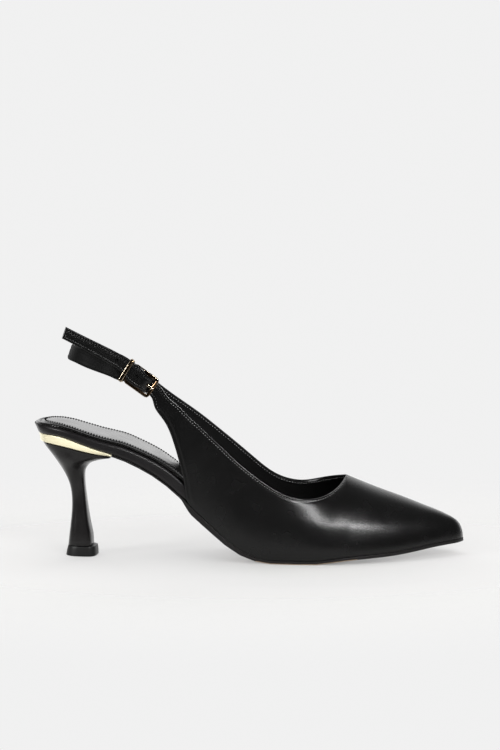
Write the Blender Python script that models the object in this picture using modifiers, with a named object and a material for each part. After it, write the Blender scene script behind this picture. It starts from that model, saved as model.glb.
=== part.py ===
"""Slingback pump, right shoe: pointed closed toe, open back, flared heel, buckled sling strap.

Metres, +Z up, +X to the toe, +Y to the inner side of the foot.
The origin is the middle of the heel's tip, on the floor.
"""
import math

import bmesh
import bpy
import numpy as np
from mathutils import Matrix, Vector

# Main sizes of the last and the shoe
SHOE_LENGTH = 0.247
BALL_WIDTH = 0.076
HEEL_HEIGHT = 0.062
ANKLE_HEIGHT = 0.055
SEAT_OVERHANG = 0.027

# Walls, layers and clearances
UPPER_WALL = 0.0016
OUTSOLE_THICKNESS = 0.0020
BOARD_THICKNESS = 0.0067
SOCK_THICKNESS = 0.0012
SOCK_CROWN = 0.0002
PLATE_THICKNESS = 0.0058
SEAM_GAP = 0.0003

# How far each layer's edge lies inside what is round it
OUTSOLE_LIP = 0.0003
WAIST_MARGIN = 0.0012
BOARD_MARGIN = 0.0001
SOCK_MARGIN = 0.0012
PLATE_MARGIN = 0.0005
PLATE_DRAFT = 0.0014
HEEL_MARGIN = 0.0006

# Softened edges
OUTSOLE_EDGE = 0.0004
BOARD_EDGE = 0.0011
SOCK_EDGE = 0.0008
PLATE_EDGE = 0.0003
STRAP_EDGE = 0.0003

# Heel
HEEL_BREAST = 0.182
HEEL_TIP_LENGTH = 0.0172
HEEL_TIP_WIDTH = 0.0168
TOP_PIECE_HEIGHT = 0.0060
TIP_SQUARE = 4.0

# Strap and buckle
STRAP_WIDTH = 0.0083
STRAP_TIP_SKEW = 0.0010
BACK_STRAP_WIDTH = 0.0076
BACK_STRAP_THICKNESS = 0.0011
EYE_WIDTH = 0.80
LOOP_MIDDLE = 0.190
HOLE_DIAMETER = 0.0019
BUCKLE_ALONG = 0.2515
BUCKLE_SIDE = -0.353
BUCKLE_RISE = 0.912
BUCKLE_PITCH = 35.0
BUCKLE_SPREAD = 0.12
BUCKLE_LEAN = 0.10
BUCKLE_LENGTH = 0.0170
BUCKLE_HEIGHT = 0.0130
BUCKLE_CORNER = 0.0008
BUCKLE_BAR_WIDTH = 0.0020
BUCKLE_BAR_THICKNESS = 0.0015
BAR_EDGE = 0.0003
PIVOT_GAP = 0.00025
PRONG_THICKNESS = 0.0008
PRONG_WIDTH = 0.0014
PRONG_OUT = 0.00135
PRONG_SLOT_GAP = 0.0005
PRONG_HOLE_GAP = 0.00025
KEEPER_PLACE = -0.592
KEEPER_WIDTH = 0.0023
KEEPER_THICKNESS = 0.0008
KEEPER_CORNER = 0.0010
KEEPER_TURN = -3.5
KEEPER_LOW = -0.0066
KEEPER_HIGH = 0.0065
KEEPER_INNER = -0.0024
KEEPER_OUTER = 0.0044

# Share of the length where the quarters meet the feather line
FEATHER_START = 0.358

# Mesh fineness
SOLE_STATIONS = 46
WALL_ROWS = 8
QUARTER_SPACING = 0.0050
STRAP_SPACING = 0.0026
VAMP_STEPS = [2, 3, 3, 3, 3, 3, 3, 3]
HEEL_SIDES = 28
PLATE_STATIONS = 18
BACK_STRAP_STATIONS = 40

# Underside of the insole board, from the back of the seat to the toe.
# along: share of the length; height: share of the heel height above the forefoot's flat;
# sole: outsole thickness and board: board thickness, as shares of the named thicknesses.
BED_LINE = [
    # along, height, sole, board
    (0.000, 1.123, 0.60, 0.77),
    (0.030, 1.123, 0.60, 0.77),
    (0.050, 1.117, 0.60, 0.77),
    (0.078, 1.093, 0.60, 0.77),
    (0.110, 1.051, 0.60, 0.78),
    (0.150, 0.998, 0.60, 0.82),
    (0.182, 0.961, 0.60, 0.87),
    (0.200, 0.938, 0.60, 0.90),
    (0.237, 0.871, 0.60, 0.93),
    (0.276, 0.783, 0.60, 0.97),
    (0.315, 0.668, 0.60, 1.00),
    (0.342, 0.571, 0.70, 1.00),
    (0.356, 0.516, 1.40, 0.98),
    (0.369, 0.463, 1.60, 0.94),
    (0.396, 0.363, 1.58, 0.82),
    (0.423, 0.263, 1.45, 0.68),
    (0.450, 0.165, 1.30, 0.54),
    (0.478, 0.083, 1.15, 0.42),
    (0.500, 0.043, 1.05, 0.34),
    (0.530, 0.007, 1.00, 0.29),
    (0.555, 0.000, 1.00, 0.28),
    (0.640, 0.000, 1.00, 0.28),
    (0.672, 0.011, 1.00, 0.28),
    (0.707, 0.029, 1.00, 0.28),
    (0.747, 0.043, 1.00, 0.28),
    (0.785, 0.050, 1.00, 0.28),
    (0.836, 0.060, 1.00, 0.28),
    (0.866, 0.072, 1.00, 0.28),
    (0.896, 0.086, 1.00, 0.28),
    (0.925, 0.100, 1.00, 0.28),
    (0.960, 0.110, 1.00, 0.28),
    (1.000, 0.117, 1.00, 0.28),
]

# Plan of the last with its upper on, at the feather line.
# along: share of the length; outer and inner: shares of the ball width from the middle line.
PLAN = [
    # along, outer, inner
    (-0.010, 0.000, 0.000),
    (0.000, 0.128, 0.128),
    (0.028, 0.232, 0.232),
    (0.078, 0.310, 0.307),
    (0.150, 0.350, 0.342),
    (0.220, 0.356, 0.338),
    (0.300, 0.344, 0.310),
    (0.360, 0.337, 0.281),
    (0.440, 0.360, 0.273),
    (0.520, 0.405, 0.320),
    (0.600, 0.446, 0.395),
    (0.680, 0.460, 0.452),
    (0.750, 0.430, 0.468),
    (0.820, 0.352, 0.420),
    (0.880, 0.252, 0.340),
    (0.930, 0.155, 0.252),
    (0.970, 0.068, 0.165),
    (0.990, 0.010, 0.112),
    (1.000, -0.050, 0.050),
]

# Columns of the upper from its lower edge to its topline, outer side, behind the throat.
# low_x, top_x: shares of the length; low_half, top_half: shares of the ball width;
# low_rise, top_rise: shares of the ankle height above the bed line (0 is the feather line);
# wall, bulge: height and outward reach of the lower curve; lean, drop: the same at the top;
# fore, aft: how far the two curve handles lean along the column.
OUTER_QUARTER = [
    # low_x, low_half, low_rise, top_x, top_half, top_rise, wall, bulge, lean, drop, fore, aft
    (0.281, 0.348, 0.720, 0.308, 0.358, 0.942, 0.33, 0.000, 0.000, 0.33, 0.33, 0.33),
    (0.303, 0.352, 0.642, 0.337, 0.362, 0.933, 0.33, 0.004, 0.002, 0.33, 0.33, 0.33),
    (0.321, 0.350, 0.529, 0.362, 0.362, 0.929, 0.33, 0.007, 0.004, 0.33, 0.33, 0.33),
    (0.337, 0.346, 0.349, 0.386, 0.360, 0.933, 0.33, 0.009, 0.005, 0.33, 0.33, 0.33),
    (0.350, 0.340, 0.140, 0.411, 0.356, 0.927, 0.33, 0.010, 0.006, 0.33, 0.25, 0.33),
    (0.358, 0.337, 0.000, 0.436, 0.352, 0.925, 0.33, 0.012, 0.008, 0.33, 0.20, 0.33),
    (0.405, 0.345, 0.000, 0.470, 0.349, 0.904, 0.33, 0.018, 0.010, 0.33, 0.15, 0.33),
    (0.475, 0.380, 0.000, 0.515, 0.355, 0.833, 0.35, 0.024, 0.016, 0.32, 0.10, 0.33),
    (0.553, 0.420, 0.000, 0.573, 0.374, 0.696, 0.36, 0.026, 0.032, 0.30, 0.10, 0.30),
    (0.622, 0.453, 0.000, 0.630, 0.360, 0.629, 0.37, 0.026, 0.062, 0.26, 0.05, 0.20),
    (0.677, 0.460, 0.000, 0.673, 0.282, 0.635, 0.38, 0.025, 0.112, 0.19, 0.00, 0.00),
    (0.710, 0.455, 0.000, 0.705, 0.155, 0.687, 0.40, 0.023, 0.180, 0.10, 0.00, 0.00),
    (0.732, 0.445, 0.000, 0.725, -0.013, 0.764, 0.42, 0.020, 0.245, 0.03, 0.00, 0.00),
]

# The same for the inner side, whose quarter ends in a tab over the back strap.
INNER_QUARTER = [
    # low_x, low_half, low_rise, top_x, top_half, top_rise, wall, bulge, lean, drop, fore, aft
    (0.238, 0.330, 0.723, 0.258, 0.332, 0.887, 0.33, 0.000, 0.000, 0.33, 0.33, 0.33),
    (0.267, 0.332, 0.662, 0.289, 0.337, 0.858, 0.33, 0.001, 0.000, 0.33, 0.33, 0.33),
    (0.298, 0.328, 0.575, 0.329, 0.340, 0.868, 0.33, 0.004, 0.002, 0.33, 0.33, 0.33),
    (0.319, 0.318, 0.458, 0.366, 0.339, 0.915, 0.33, 0.008, 0.004, 0.33, 0.33, 0.33),
    (0.338, 0.304, 0.284, 0.394, 0.335, 0.940, 0.33, 0.010, 0.005, 0.33, 0.30, 0.33),
    (0.358, 0.282, 0.000, 0.425, 0.330, 0.958, 0.34, 0.014, 0.006, 0.33, 0.20, 0.33),
    (0.410, 0.275, 0.000, 0.470, 0.323, 0.965, 0.34, 0.022, 0.008, 0.33, 0.15, 0.33),
    (0.478, 0.290, 0.000, 0.515, 0.322, 0.885, 0.35, 0.030, 0.014, 0.32, 0.10, 0.33),
    (0.553, 0.350, 0.000, 0.565, 0.334, 0.745, 0.36, 0.034, 0.028, 0.30, 0.10, 0.30),
    (0.622, 0.415, 0.000, 0.626, 0.328, 0.682, 0.37, 0.032, 0.060, 0.26, 0.05, 0.20),
    (0.677, 0.450, 0.000, 0.667, 0.258, 0.715, 0.38, 0.028, 0.112, 0.19, 0.00, 0.00),
    (0.710, 0.465, 0.000, 0.701, 0.140, 0.744, 0.40, 0.024, 0.180, 0.10, 0.00, 0.00),
    (0.732, 0.468, 0.000, 0.725, 0.013, 0.764, 0.42, 0.020, 0.245, 0.03, 0.00, 0.00),
]

# Both sides of the vamp, from the throat to the toe's tip; ridge: share of the ball width.
VAMP = [
    # low_x, top_x, ridge, top_rise, wall, bulge, lean, drop, fore, aft
    (0.732, 0.725, 0.013, 0.764, 0.42, 0.020, 0.245, 0.03, 0.00, 0.00),
    (0.762, 0.760, 0.020, 0.687, 0.43, 0.016, 0.240, 0.02, 0.00, 0.00),
    (0.811, 0.809, 0.029, 0.588, 0.44, 0.012, 0.220, 0.02, 0.00, 0.00),
    (0.869, 0.866, 0.039, 0.472, 0.46, 0.008, 0.180, 0.02, 0.00, 0.10),
    (0.921, 0.910, 0.045, 0.368, 0.48, 0.005, 0.135, 0.03, 0.00, 0.30),
    (0.959, 0.943, 0.048, 0.294, 0.49, 0.003, 0.095, 0.05, 0.00, 0.45),
    (0.982, 0.961, 0.050, 0.250, 0.50, 0.002, 0.060, 0.08, 0.00, 0.55),
    (0.995, 0.968, 0.050, 0.231, 0.50, 0.001, 0.030, 0.11, 0.00, 0.60),
    (1.000, 0.971, 0.050, 0.222, 0.50, 0.000, 0.000, 0.12, 0.00, 0.60),
]

# The holed strap in the buckle's own frame, from its free end to the quarter.
# along: share of the buckle length; across, width: shares of the strap width;
# out: outer face, in thicknesses of the upper's wall.
HOLED_STRAP = [
    # along, across, out, width
    (-3.030, -0.385, 2.27, 0.80),
    (-2.360, -0.185, 2.00, 0.85),
    (-1.650, 0.030, 1.94, 0.91),
    (-1.100, 0.175, 2.10, 0.95),
    (-0.640, 0.230, 2.44, 0.98),
    (-0.441, 0.240, 2.50, 0.98),
    (-0.180, 0.225, 2.47, 1.00),
    (-0.050, 0.145, 2.40, 1.00),
    (0.070, 0.055, 2.10, 1.00),
    (0.150, 0.015, 1.72, 1.00),
    (0.215, 0.010, 1.22, 1.00),
    (0.275, 0.010, 0.62, 1.00),
    (0.325, 0.010, 0.00, 1.00),
    (0.365, 0.010, -0.53, 1.00),
    (0.405, 0.010, -0.78, 1.00),
    (0.470, 0.010, -0.90, 1.00),
    (0.570, -0.020, -0.88, 1.02),
]

# Holes of the strap: shares of the buckle length from the buckle's middle
STRAP_HOLES = [-0.188, -0.618, -1.047]

# Where the prong comes through the strap, in the same shares
PRONG_HOLE_FROM = 0.024
PRONG_HOLE_TO = 0.359

# The back strap beside the buckle, in the same frame: across, width: shares of its width;
# out: middle of its leather, in its own thicknesses.
BACK_STRAP_NEAR = [
    # along, across, out, width
    (-0.555, -0.200, -1.22, 0.90),
    (-0.640, -0.350, -0.90, 0.97),
    (-0.760, -0.430, -0.45, 1.00),
    (-0.920, -0.500, 0.00, 1.00),
]

# The back strap's loop round the ankle: shares of the length, ball width and ankle height.
BACK_STRAP_LOOP = [
    # along, side, rise, lean
    (0.172, -0.311, 0.900, 0.10),
    (0.132, -0.268, 0.905, 0.18),
    (0.106, -0.190, 0.905, 0.28),
    (0.0915, -0.080, 0.890, 0.35),
    (0.087, 0.030, 0.880, 0.35),
    (0.0955, 0.145, 0.865, 0.30),
    (0.120, 0.228, 0.868, 0.20),
    (0.152, 0.272, 0.878, 0.10),
    (0.191, 0.294, 0.876, 0.04),
    (0.222, 0.299, 0.836, 0.00),
    (0.248, 0.2995, 0.802, 0.00),
    (0.272, 0.3005, 0.764, 0.00),
]

# Rings of the top piece and of the heel's lower end. height: share of the top piece's height;
# back, front, width: shares of half the tip's length and width.
TIP_RINGS = [
    # height, back, front, width
    (0.00, 0.97, 0.97, 0.97),
    (0.07, 1.00, 1.00, 1.00),
    (0.90, 0.93, 0.97, 0.97),
    (1.00, 0.90, 0.93, 0.93),
]
NECK_RING = (1.00, 0.89, 0.70, 0.93)

# Rings of the heel above its lower end: back and breast edge and half width.
# back_x, breast_x: shares of the length from the tip's middle; back_z, breast_z: shares of
# the heel height; half: share of the ball width; square: how square the breast's corners are.
HEEL_RINGS = [
    # back_x, back_z, breast_x, breast_z, half, square
    (-0.0302, 0.182, 0.0202, 0.200, 0.099, 4.0),
    (-0.0284, 0.270, 0.0160, 0.310, 0.092, 4.0),
    (-0.0268, 0.380, 0.0122, 0.440, 0.083, 4.0),
    (-0.0264, 0.450, 0.0090, 0.530, 0.078, 4.0),
    (-0.0268, 0.520, 0.0062, 0.620, 0.076, 4.0),
    (-0.0289, 0.590, 0.0045, 0.700, 0.080, 4.0),
    (-0.0325, 0.655, 0.0043, 0.760, 0.090, 4.0),
    (-0.0390, 0.720, 0.0055, 0.800, 0.109, 4.0),
    (-0.0480, 0.784, 0.0095, 0.835, 0.138, 4.0),
    (-0.0569, 0.840, 0.0170, 0.875, 0.172, 4.0),
    (-0.0665, 0.890, 0.0290, 0.905, 0.212, 4.3),
    (-0.0770, 0.950, 0.0480, 0.925, 0.250, 4.6),
]

# Thickness of the heel plate: share of its named thickness along the seat.
PLATE_LINE = [
    # along, thickness
    (-0.010, 0.76),
    (0.020, 0.82),
    (0.050, 0.88),
    (0.080, 0.80),
    (0.122, 0.58),
    (0.152, 0.38),
    (0.172, 0.25),
    (0.190, 0.19),
]

MATERIALS = {
    # name: colour, roughness, metallic
    "black_leather": ((0.012, 0.012, 0.013, 1.0), 0.38, 0.0),
    "black_heel": ((0.014, 0.013, 0.013, 1.0), 0.35, 0.0),
    "sole_rubber": ((0.030, 0.026, 0.024, 1.0), 0.60, 0.0),
    "sock_lining": ((0.015, 0.015, 0.015, 1.0), 0.45, 0.0),
    "lift_rubber": ((0.010, 0.010, 0.010, 1.0), 0.55, 0.0),
    "pale_gold": ((0.900, 0.740, 0.420, 1.0), 0.16, 1.0),
}


def clear_scene():
    for obj in list(bpy.data.objects):
        bpy.data.objects.remove(obj, do_unlink=True)


def make_materials():
    made = {}
    for name, (colour, roughness, metallic) in MATERIALS.items():
        material = bpy.data.materials.new(name)
        material.use_nodes = True
        shader = material.node_tree.nodes["Principled BSDF"]
        shader.inputs["Base Color"].default_value = colour
        shader.inputs["Roughness"].default_value = roughness
        shader.inputs["Metallic"].default_value = metallic
        material.diffuse_color = colour
        made[name] = material
    return made


def column(table, index):
    return np.array([row[index] for row in table], dtype=float)


def steady(xs, ys):
    """Curve through the points that never swings past them."""
    xs = np.asarray(xs, dtype=float)
    ys = np.asarray(ys, dtype=float)
    step = np.diff(xs)
    slope = np.diff(ys) / step
    tangent = np.zeros(len(xs))
    tangent[0] = slope[0]
    tangent[-1] = slope[-1]
    for i in range(1, len(xs) - 1):
        if slope[i - 1] * slope[i] > 0:
            before = 2 * step[i] + step[i - 1]
            after = step[i] + 2 * step[i - 1]
            tangent[i] = (before + after) / (before / slope[i - 1] + after / slope[i])

    def value(x):
        x = np.clip(np.asarray(x, dtype=float), xs[0], xs[-1])
        i = np.clip(np.searchsorted(xs, x) - 1, 0, len(xs) - 2)
        h = step[i]
        t = (x - xs[i]) / h
        return (
            (2 * t ** 3 - 3 * t ** 2 + 1) * ys[i]
            + (t ** 3 - 2 * t ** 2 + t) * h * tangent[i]
            + (3 * t ** 2 - 2 * t ** 3) * ys[i + 1]
            + (t ** 3 - t ** 2) * h * tangent[i + 1]
        )

    return value


def smooth(rows, samples):
    """Natural cubic curve through the rows, spaced by their distance from each other."""
    rows = np.asarray(rows, dtype=float)
    count = len(rows)
    spread = np.linalg.norm(np.diff(rows[:, :3], axis=0), axis=1)
    knots = np.concatenate([[0.0], np.cumsum(spread)])
    step = np.diff(knots)
    matrix = np.eye(count)
    right = np.zeros((count, rows.shape[1]))
    for i in range(1, count - 1):
        matrix[i, i - 1] = step[i - 1]
        matrix[i, i] = 2 * (step[i - 1] + step[i])
        matrix[i, i + 1] = step[i]
        right[i] = 6 * ((rows[i + 1] - rows[i]) / step[i] - (rows[i] - rows[i - 1]) / step[i - 1])
    bend = np.linalg.solve(matrix, right)
    at = knots[-1] * np.asarray(samples, dtype=float)
    i = np.clip(np.searchsorted(knots, at) - 1, 0, count - 2)
    h = step[i][:, None]
    low = (knots[i + 1] - at)[:, None]
    high = (at - knots[i])[:, None]
    return (
        bend[i] * low ** 3 / (6 * h)
        + bend[i + 1] * high ** 3 / (6 * h)
        + (rows[i] / h - bend[i] * h / 6) * low
        + (rows[i + 1] / h - bend[i + 1] * h / 6) * high
    )


def along(share):
    return share * SHOE_LENGTH - SEAT_OVERHANG


flat_height = OUTSOLE_THICKNESS + SEAM_GAP
bed_height = steady(along(column(BED_LINE, 0)), flat_height + column(BED_LINE, 1) * HEEL_HEIGHT)
sole_share = steady(along(column(BED_LINE, 0)), column(BED_LINE, 2))
board_share = steady(along(column(BED_LINE, 0)), column(BED_LINE, 3))
plate_share = steady(along(column(PLATE_LINE, 0)), column(PLATE_LINE, 1))


def level(x, offset):
    """Height of a line that runs at this distance from the bed line, square to it."""
    reach = 0.0004
    slope = (bed_height(x + reach) - bed_height(x - reach)) / (2 * reach)
    return bed_height(x) + offset * np.sqrt(1 + slope ** 2)


def plan_curves(inset):
    """Outer and inner edge of the plan, moved inward by the inset: x and y of each."""
    curves = []
    for index, sign in ((1, -1.0), (2, 1.0)):
        rows = np.column_stack([
            along(column(PLAN, 0)),
            sign * column(PLAN, index) * BALL_WIDTH,
            np.zeros(len(PLAN)),
        ])
        curves.append(smooth(rows, np.linspace(0, 1, 241))[:, :2])
    loop = np.vstack([curves[0], curves[1][::-1][1:-1]])
    ahead = np.roll(loop, -1, axis=0) - np.roll(loop, 1, axis=0)
    inward = np.column_stack([-ahead[:, 1], ahead[:, 0]])
    inward /= np.linalg.norm(inward, axis=1)[:, None]
    moved = loop + inward * inset
    half = len(curves[0])
    outer = moved[:half]
    inner = np.vstack([moved[0], moved[half:][::-1], moved[half - 1]])
    return outer, inner


def plan_edges(inset):
    """Functions of x for the outer and inner edge, and the curve's two end positions."""
    outer, inner = plan_curves(inset)
    start = max(outer[:, 0].min(), inner[:, 0].min())
    end = min(outer[:, 0].max(), inner[:, 0].max())
    edges = []
    for curve in (outer, inner):
        order = np.maximum.accumulate(curve[:, 0])
        edges.append((order, curve[:, 1]))

    def outer_edge(x):
        return np.interp(x, edges[0][0], edges[0][1])

    def inner_edge(x):
        return np.interp(x, edges[1][0], edges[1][1])

    return outer_edge, inner_edge, start, end


def rounded_stations(start, end, count):
    """Stations from start to end, close together at both ends."""
    turn = np.linspace(0, math.pi, count)
    return start + (end - start) * (1 - np.cos(turn)) / 2


def layer_stations(start, end):
    """Stations shared by all layers of the sole, with a few more near a layer's ends."""
    shared = rounded_stations(along(PLAN[0][0]), along(PLAN[-1][0]), SOLE_STATIONS)
    near = np.array([0.0, 0.0002, 0.0007, 0.0016])
    inside = shared[(shared > start + 0.0022) & (shared < end - 0.0022)]
    return np.concatenate([start + near, inside, end - near[::-1]])


def add_mesh(name, points, faces, material, collection):
    mesh = bpy.data.meshes.new(name)
    mesh.from_pydata([tuple(map(float, point)) for point in points], [], faces)
    mesh.materials.append(material)
    obj = bpy.data.objects.new(name, mesh)
    collection.objects.link(obj)
    return obj


def face_outward(obj, merge=0.00001):
    shape = bmesh.new()
    shape.from_mesh(obj.data)
    bmesh.ops.remove_doubles(shape, verts=shape.verts, dist=merge)
    bmesh.ops.dissolve_degenerate(shape, edges=shape.edges, dist=merge / 10)
    bmesh.ops.recalc_face_normals(shape, faces=shape.faces)
    if shape.calc_volume(signed=True) < 0:
        bmesh.ops.reverse_faces(shape, faces=shape.faces)
    shape.to_mesh(obj.data)
    shape.free()


def soften(obj, angle=35.0):
    for polygon in obj.data.polygons:
        polygon.use_smooth = True
    obj.data.set_sharp_from_angle(angle=math.radians(angle))


def loft(name, rings, material, collection, closed=False, strips=False):
    """Body through rings of equal point count, capped at its ends unless it closes.

    With strips, the caps run across from side to side and so can follow a curved rim.
    """
    size = len(rings[0])
    points = [point for ring in rings for point in ring]
    faces = []
    spans = len(rings) if closed else len(rings) - 1
    for i in range(spans):
        a = i * size
        b = ((i + 1) % len(rings)) * size
        for j in range(size):
            k = (j + 1) % size
            faces.append((a + j, a + k, b + k, b + j))
    last = (len(rings) - 1) * size
    if strips:
        for first in (0, last):
            for j in range(size // 2):
                face = [first + j, first + j + 1, first + size - j - 1, first + (size - j) % size]
                face = list(dict.fromkeys(face))
                faces.append(tuple(face if first else face[::-1]))
    elif not closed:
        faces.append(tuple(range(size))[::-1])
        faces.append(tuple(range(last, last + size)))
    obj = add_mesh(name, points, faces, material, collection)
    face_outward(obj)
    soften(obj)
    return obj


def slab(name, stations, low, high, outer_edge, inner_edge, bevel, material, collection,
         crown=0.0, draft=0.0):
    """Layer of the sole between two height functions, with softened edges.

    The crown lifts the middle of its top, and the draft brings its lower edge in.
    """
    rings = []
    for x in stations:
        left = float(outer_edge(x))
        right = float(inner_edge(x))
        bottom = float(low(x))
        top = float(high(x))
        soft = min(bevel, 0.3 * (right - left), 0.4 * (top - bottom))
        lean = min(draft, 0.1 * (right - left))
        middle = (left + right) / 2
        rings.append([
            (x, left + lean, bottom + soft),
            (x, left + lean + soft, bottom),
            (x, middle, bottom),
            (x, right - lean - soft, bottom),
            (x, right - lean, bottom + soft),
            (x, right, top - soft),
            (x, right - soft, top),
            (x, middle, top + crown),
            (x, left + soft, top),
            (x, left, top - soft),
        ])
    return loft(name, rings, material, collection)


def board_high(x):
    return level(x, BOARD_THICKNESS * board_share(x))


def build_sole(materials, collection):
    lip = plan_edges(-OUTSOLE_LIP)
    waist = plan_edges(UPPER_WALL + SEAM_GAP + WAIST_MARGIN)
    blend_from, blend_to = along(0.335), along(0.365)

    def blend(x):
        t = np.clip((x - blend_from) / (blend_to - blend_from), 0, 1)
        return t * t * (3 - 2 * t)

    def outsole_outer(x):
        return waist[0](x) * (1 - blend(x)) + lip[0](x) * blend(x)

    def outsole_inner(x):
        return waist[1](x) * (1 - blend(x)) + lip[1](x) * blend(x)

    def underside(x):
        return level(x, -SEAM_GAP - OUTSOLE_THICKNESS * sole_share(x))

    def outsole_top(x):
        return level(x, -SEAM_GAP)

    stations = layer_stations(along(HEEL_BREAST), lip[3])
    stations = np.unique(np.concatenate([stations, np.linspace(blend_from, blend_to, 5)]))
    slab(
        "outsole", stations, underside, outsole_top, outsole_outer, outsole_inner,
        OUTSOLE_EDGE, materials["sole_rubber"], collection,
    )

    outer_edge, inner_edge, start, end = plan_edges(UPPER_WALL + SEAM_GAP + BOARD_MARGIN)
    slab(
        "insole_board", layer_stations(start, end), bed_height, board_high, outer_edge,
        inner_edge, BOARD_EDGE, materials["black_leather"], collection,
    )

    def sock_low(x):
        return level(x, BOARD_THICKNESS * board_share(x) + SEAM_GAP)

    def sock_high(x):
        return level(x, BOARD_THICKNESS * board_share(x) + SEAM_GAP + SOCK_THICKNESS)

    outer_edge, inner_edge, start, end = plan_edges(UPPER_WALL + SEAM_GAP + SOCK_MARGIN)
    slab(
        "sock", layer_stations(start, end), sock_low, sock_high, outer_edge, inner_edge,
        SOCK_EDGE, materials["sock_lining"], collection, crown=SOCK_CROWN,
    )


def plate_low(x):
    return level(x, -SEAM_GAP) - PLATE_THICKNESS * plate_share(x)


def build_heel(materials, collection):
    outer_edge, inner_edge, start, end = plan_edges(UPPER_WALL + SEAM_GAP + PLATE_MARGIN)
    front = along(HEEL_BREAST) - SEAM_GAP
    stations = rounded_stations(start, 2 * front - start, 2 * PLATE_STATIONS)[:PLATE_STATIONS]
    stations = np.append(stations, front)

    def plate_high(x):
        return level(x, -SEAM_GAP)

    slab(
        "heel_plate", stations, plate_low, plate_high, outer_edge, inner_edge,
        PLATE_EDGE, materials["pale_gold"], collection, draft=PLATE_DRAFT,
    )

    rings = [tip_ring(*NECK_RING, 0.0)]
    for back_x, back_z, breast_x, breast_z, half, square in HEEL_RINGS:
        rings.append(heel_ring(
            (back_x * SHOE_LENGTH, back_z * HEEL_HEIGHT),
            (breast_x * SHOE_LENGTH, breast_z * HEEL_HEIGHT),
            half * BALL_WIDTH, square,
        ))
    inset = UPPER_WALL + SEAM_GAP + PLATE_MARGIN + PLATE_DRAFT + HEEL_MARGIN
    seat = plan_edges(inset)
    rings.append(seat_ring(seat[0], seat[1], seat[2], front, SEAM_GAP + HEEL_MARGIN * 3))
    seat = plan_edges(inset - HEEL_MARGIN)
    rings.append(seat_ring(seat[0], seat[1], seat[2], front, SEAM_GAP))
    loft("heel", rings, materials["black_heel"], collection, strips=True)

    rings = [tip_ring(*row, SEAM_GAP) for row in TIP_RINGS]
    loft("top_piece", rings, materials["lift_rubber"], collection)


def tip_ring(height, back, front, width, gap):
    """Ring of the heel's lower end or of the top piece, which ends a gap below it."""
    reach = HEEL_TIP_LENGTH / 2
    z = height * (TOP_PIECE_HEIGHT - gap)
    return heel_ring((-back * reach, z), (front * reach, z), width * HEEL_TIP_WIDTH / 2, TIP_SQUARE)


def heel_ring(back, breast, half, square):
    """Ring with a round back and a square front, between a back and a breast point."""
    ring = []
    centre = (back[0] + breast[0]) / 2
    reach = (breast[0] - back[0]) / 2
    for i in range(HEEL_SIDES):
        turn = 2 * math.pi * i / HEEL_SIDES
        c = math.cos(turn)
        s = math.sin(turn)
        power = 2.2 if c < 0 else square
        size = (abs(c) ** power + abs(s) ** power) ** (-1 / power)
        x = centre + reach * c * size
        y = half * s * size
        share = (x - back[0]) / (breast[0] - back[0])
        z = back[1] + (breast[1] - back[1]) * share
        ring.append((x, y, z))
    return ring


def seat_ring(outer_edge, inner_edge, start, front, below):
    """Ring round the top of the heel, which follows the seat's own outline."""
    ring = []
    middle = (start + front) / 2
    reach = (front - start) / 2
    for i in range(HEEL_SIDES):
        turn = 2 * math.pi * i / HEEL_SIDES
        c = math.cos(turn)
        s = math.sin(turn)
        power = 2.0 if c < 0 else 5.0
        size = (abs(c) ** power + abs(s) ** power) ** (-1 / power)
        x = middle + reach * c * size
        edge = outer_edge(x) if s < 0 else inner_edge(x)
        share = abs(s) * size
        if c < 0:
            share = 1.0 if abs(s) > 0.001 else 0.0
        y = float(edge) * share
        z = float(plate_low(x)) - below
        ring.append((x, y, z))
    return ring


def buckle_axes():
    pitch = math.radians(BUCKLE_PITCH)
    fore = Vector((math.cos(pitch), -BUCKLE_SPREAD, -math.sin(pitch))).normalized()
    out = Vector((0.0, -1.0, BUCKLE_LEAN))
    out = (out - fore * out.dot(fore)).normalized()
    across = out.cross(fore).normalized()
    if across.z < 0:
        across = -across
    return fore, across, out


def buckle_point(a, b, n):
    """Point at these distances along, across and out from the buckle's middle."""
    fore, across, out = buckle_axes()
    x = along(BUCKLE_ALONG)
    z = float(bed_height(x)) + BUCKLE_RISE * ANKLE_HEIGHT
    return Vector((x, BUCKLE_SIDE * BALL_WIDTH, z)) + fore * a + across * b + out * n


def upper_point(x_share, half, rise, sign):
    x = along(x_share)
    return np.array([x, sign * half * BALL_WIDTH, float(bed_height(x)) + rise * ANKLE_HEIGHT])


def strap_columns():
    """Columns of the holed strap, from its free end, which is cut on the skew."""
    rows = []
    for i, (a, b, n, width) in enumerate(HOLED_STRAP):
        skew = STRAP_TIP_SKEW if i == 0 else 0.0
        centre_a = a * BUCKLE_LENGTH
        centre_b = b * STRAP_WIDTH
        half = width * STRAP_WIDTH / 2
        top = buckle_point(centre_a - skew, centre_b + half, n * UPPER_WALL)
        low = buckle_point(centre_a + skew, centre_b - half, n * UPPER_WALL)
        rows.append(np.concatenate([top, low, [0.33, 0.0, 0.0, 0.33, 0.33, 0.33]]))
    return rows


def vamp_columns(sign):
    rows = []
    for row in VAMP:
        top = upper_point(row[1], row[2] * sign, row[3], sign)
        low = upper_point(row[0], 0.0, 0.0, sign)
        rows.append(np.concatenate([top, low, row[4:10]]))
    return rows


def between(rows, counts):
    """Columns along the rows: each row stays a knot, with even steps between rows."""
    rows = np.array(rows)
    spread = np.linalg.norm(np.diff(rows[:, :3], axis=0), axis=1)
    knots = np.concatenate([[0.0], np.cumsum(spread)]) / spread.sum()
    samples = [0.0]
    for i, count in enumerate(counts):
        samples.extend(knots[i] + (knots[i + 1] - knots[i]) * (np.arange(count) + 1) / count)
    samples[-1] = 1.0
    return smooth(rows, samples)


def steps_for(rows, spacing):
    rows = np.array(rows)
    spread = np.linalg.norm(np.diff(rows[:, :3], axis=0), axis=1)
    return [max(1, int(round(length / spacing))) for length in spread]


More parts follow.
